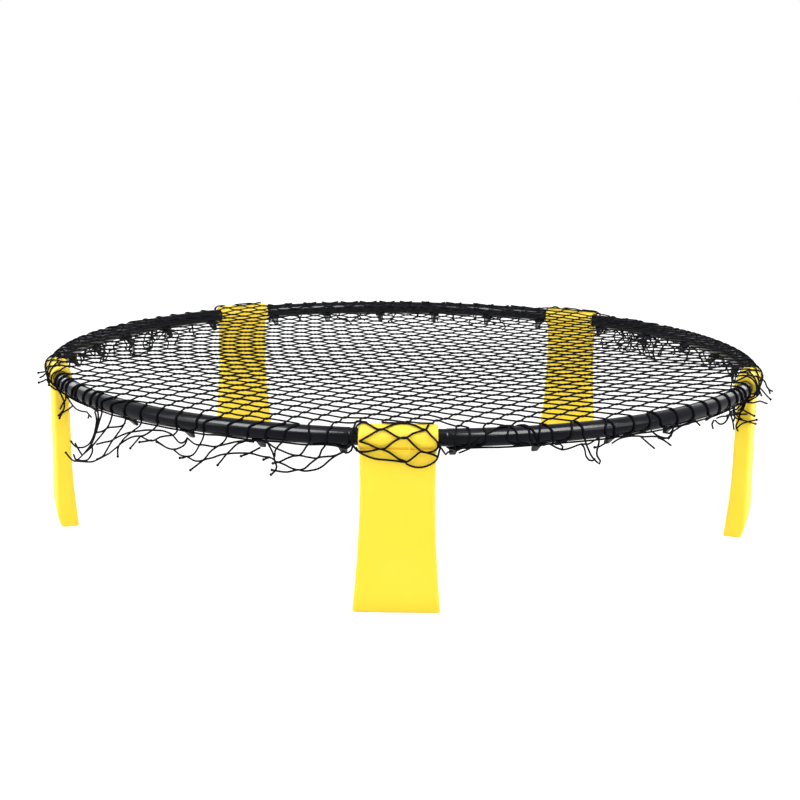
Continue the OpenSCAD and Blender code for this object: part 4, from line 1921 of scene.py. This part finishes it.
@dataclass
class Studio:
    """Pale floor, soft lamps and the camera.

    The floor has one look that lights the object and one that is seen: a grey with a glow, which
    comes out white where nothing shades it.
    """

    lens: float = 60.94
    sensor: float = 36.0
    place: tuple[float, float, float] = (0.01818, -1.76708, 0.51126)
    yaw: float = math.radians(-0.730)
    pitch: float = math.radians(12.289)
    roll: float = math.radians(0.687)
    aim: tuple[float, float, float] = (0.0, 0.0, 0.15)
    floor_half: float = 14.0
    floor_lit: Colour = (0.8, 0.8, 0.8)
    floor_seen: Colour = (0.3, 0.3, 0.3)
    floor_glow: float = 0.86
    world_strength: float = 0.8

    def camera(self) -> bpy.types.Object:
        """Makes the camera, looking down a little at the front leg.

        Returns:
            The camera.
        """
        data = bpy.data.cameras.new("camera")
        data.lens, data.sensor_width = self.lens, self.sensor
        camera = bpy.data.objects.new("camera", data)
        flat = math.cos(self.pitch)
        ahead = Vector((math.sin(self.yaw) * flat, math.cos(self.yaw) * flat, -math.sin(self.pitch)))
        level = Vector((math.cos(self.yaw), -math.sin(self.yaw), 0))
        upright = level.cross(ahead)
        right = level * math.cos(self.roll) + upright * math.sin(self.roll)
        up = upright * math.cos(self.roll) - level * math.sin(self.roll)
        turned = Matrix((right, up, -ahead)).transposed().to_4x4()
        camera.matrix_world = Matrix.Translation(self.place) @ turned
        bpy.context.scene.collection.objects.link(camera)
        bpy.context.scene.camera = camera
        return camera

    def seen_or_lit(
        self, tree: bpy.types.NodeTree, seen: bpy.types.Node, lit: bpy.types.Node, out: bpy.types.Node
    ) -> None:
        """Shows one look to the camera, a mirror or clear glass, and lights the object with another.

        Args:
            tree: The node tree.
            seen: The shader that is seen.
            lit: The shader that lights.
            out: The tree's output node.
        """
        path = tree.nodes.new("ShaderNodeLightPath")
        first = tree.nodes.new("ShaderNodeMath")
        second = tree.nodes.new("ShaderNodeMath")
        mix = tree.nodes.new("ShaderNodeMixShader")
        first.operation = second.operation = "MAXIMUM"
        for source, target in (
            (path.outputs["Is Camera Ray"], first.inputs[0]),
            (path.outputs["Is Glossy Ray"], first.inputs[1]),
            (first.outputs[0], second.inputs[0]),
            (path.outputs["Is Transmission Ray"], second.inputs[1]),
            (second.outputs[0], mix.inputs[0]),
            (lit.outputs[0], mix.inputs[1]),
            (seen.outputs[0], mix.inputs[2]),
            (mix.outputs[0], out.inputs["Surface"]),
        ):
            tree.links.new(source, target)

    def floor(self) -> bpy.types.Object:
        """Makes the floor: white where nothing shades it, with the object's soft shadow.

        Returns:
            The floor.
        """
        mesh = bpy.data.meshes.new("floor")
        h = self.floor_half
        mesh.from_pydata([(-h, -h, 0), (h, -h, 0), (h, h, 0), (-h, h, 0)], [], [(0, 1, 2, 3)])
        material = bpy.data.materials.new("studio_floor")
        material.use_nodes = True
        tree = material.node_tree
        tree.nodes.clear()
        lit = tree.nodes.new("ShaderNodeBsdfDiffuse")
        lit.inputs["Color"].default_value = (*self.floor_lit, 1)
        pale = tree.nodes.new("ShaderNodeBsdfDiffuse")
        pale.inputs["Color"].default_value = (*self.floor_seen, 1)
        glow = tree.nodes.new("ShaderNodeEmission")
        glow.inputs["Strength"].default_value = self.floor_glow
        seen = tree.nodes.new("ShaderNodeAddShader")
        tree.links.new(pale.outputs[0], seen.inputs[0])
        tree.links.new(glow.outputs[0], seen.inputs[1])
        self.seen_or_lit(tree, seen, lit, tree.nodes.new("ShaderNodeOutputMaterial"))
        floor = show("floor", mesh, material)
        return floor

    def world(self) -> None:
        """Lights the set evenly from all round, and shows white behind it."""
        world = bpy.data.worlds.new("studio")
        bpy.context.scene.world = world
        world.use_nodes = True
        tree = world.node_tree
        lit = tree.nodes["Background"]
        white = tree.nodes.new("ShaderNodeBackground")
        lit.inputs["Strength"].default_value = self.world_strength
        for background in (lit, white):
            background.inputs["Color"].default_value = (1, 1, 1, 1)
        self.seen_or_lit(tree, white, lit, tree.nodes["World Output"])

    def lamp(self, lamp: Lamp) -> bpy.types.Object:
        """Makes a lamp that faces the ring's middle.

        Args:
            lamp: Its place, size and power.

        Returns:
            The lamp.
        """
        data = bpy.data.lights.new(lamp.name, "AREA")
        data.shape, (data.size, data.size_y), data.energy = "RECTANGLE", lamp.size, lamp.power
        made = bpy.data.objects.new(lamp.name, data)
        turned = (Vector(self.aim) - Vector(lamp.place)).to_track_quat("-Z", "Y").to_matrix().to_4x4()
        made.matrix_world = Matrix.Translation(lamp.place) @ turned
        made.visible_diffuse = not lamp.only_reflected
        bpy.context.scene.collection.objects.link(made)
        return made

    def build(self) -> None:
        """Makes the whole studio."""
        self.camera()
        self.floor()
        self.world()
        for lamp in LAMPS:
            self.lamp(lamp)
        bpy.context.scene.view_settings.view_transform = "Standard"


def main() -> None:
    """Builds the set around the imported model, piece by piece."""
    logging.basicConfig(level=logging.INFO, format="%(name)s: %(message)s")
    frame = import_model()
    hinge = frame["joints"][0]["pos_m"]
    sizes = RingSizes(axis_r=math.hypot(hinge[0], hinge[1]), ring_h=hinge[2])
    Studio().build()
    rim, yellow, twine = BLACK_PLASTIC.build(), YELLOW_PLASTIC.build(), BLACK_TWINE.build()
    for k in range(LEGS):
        RimTube(sizes, k).build(rim)
        Leg(sizes, k).build(yellow)
    Net(sizes).build(twine)


if __name__ == "__main__":
    main()
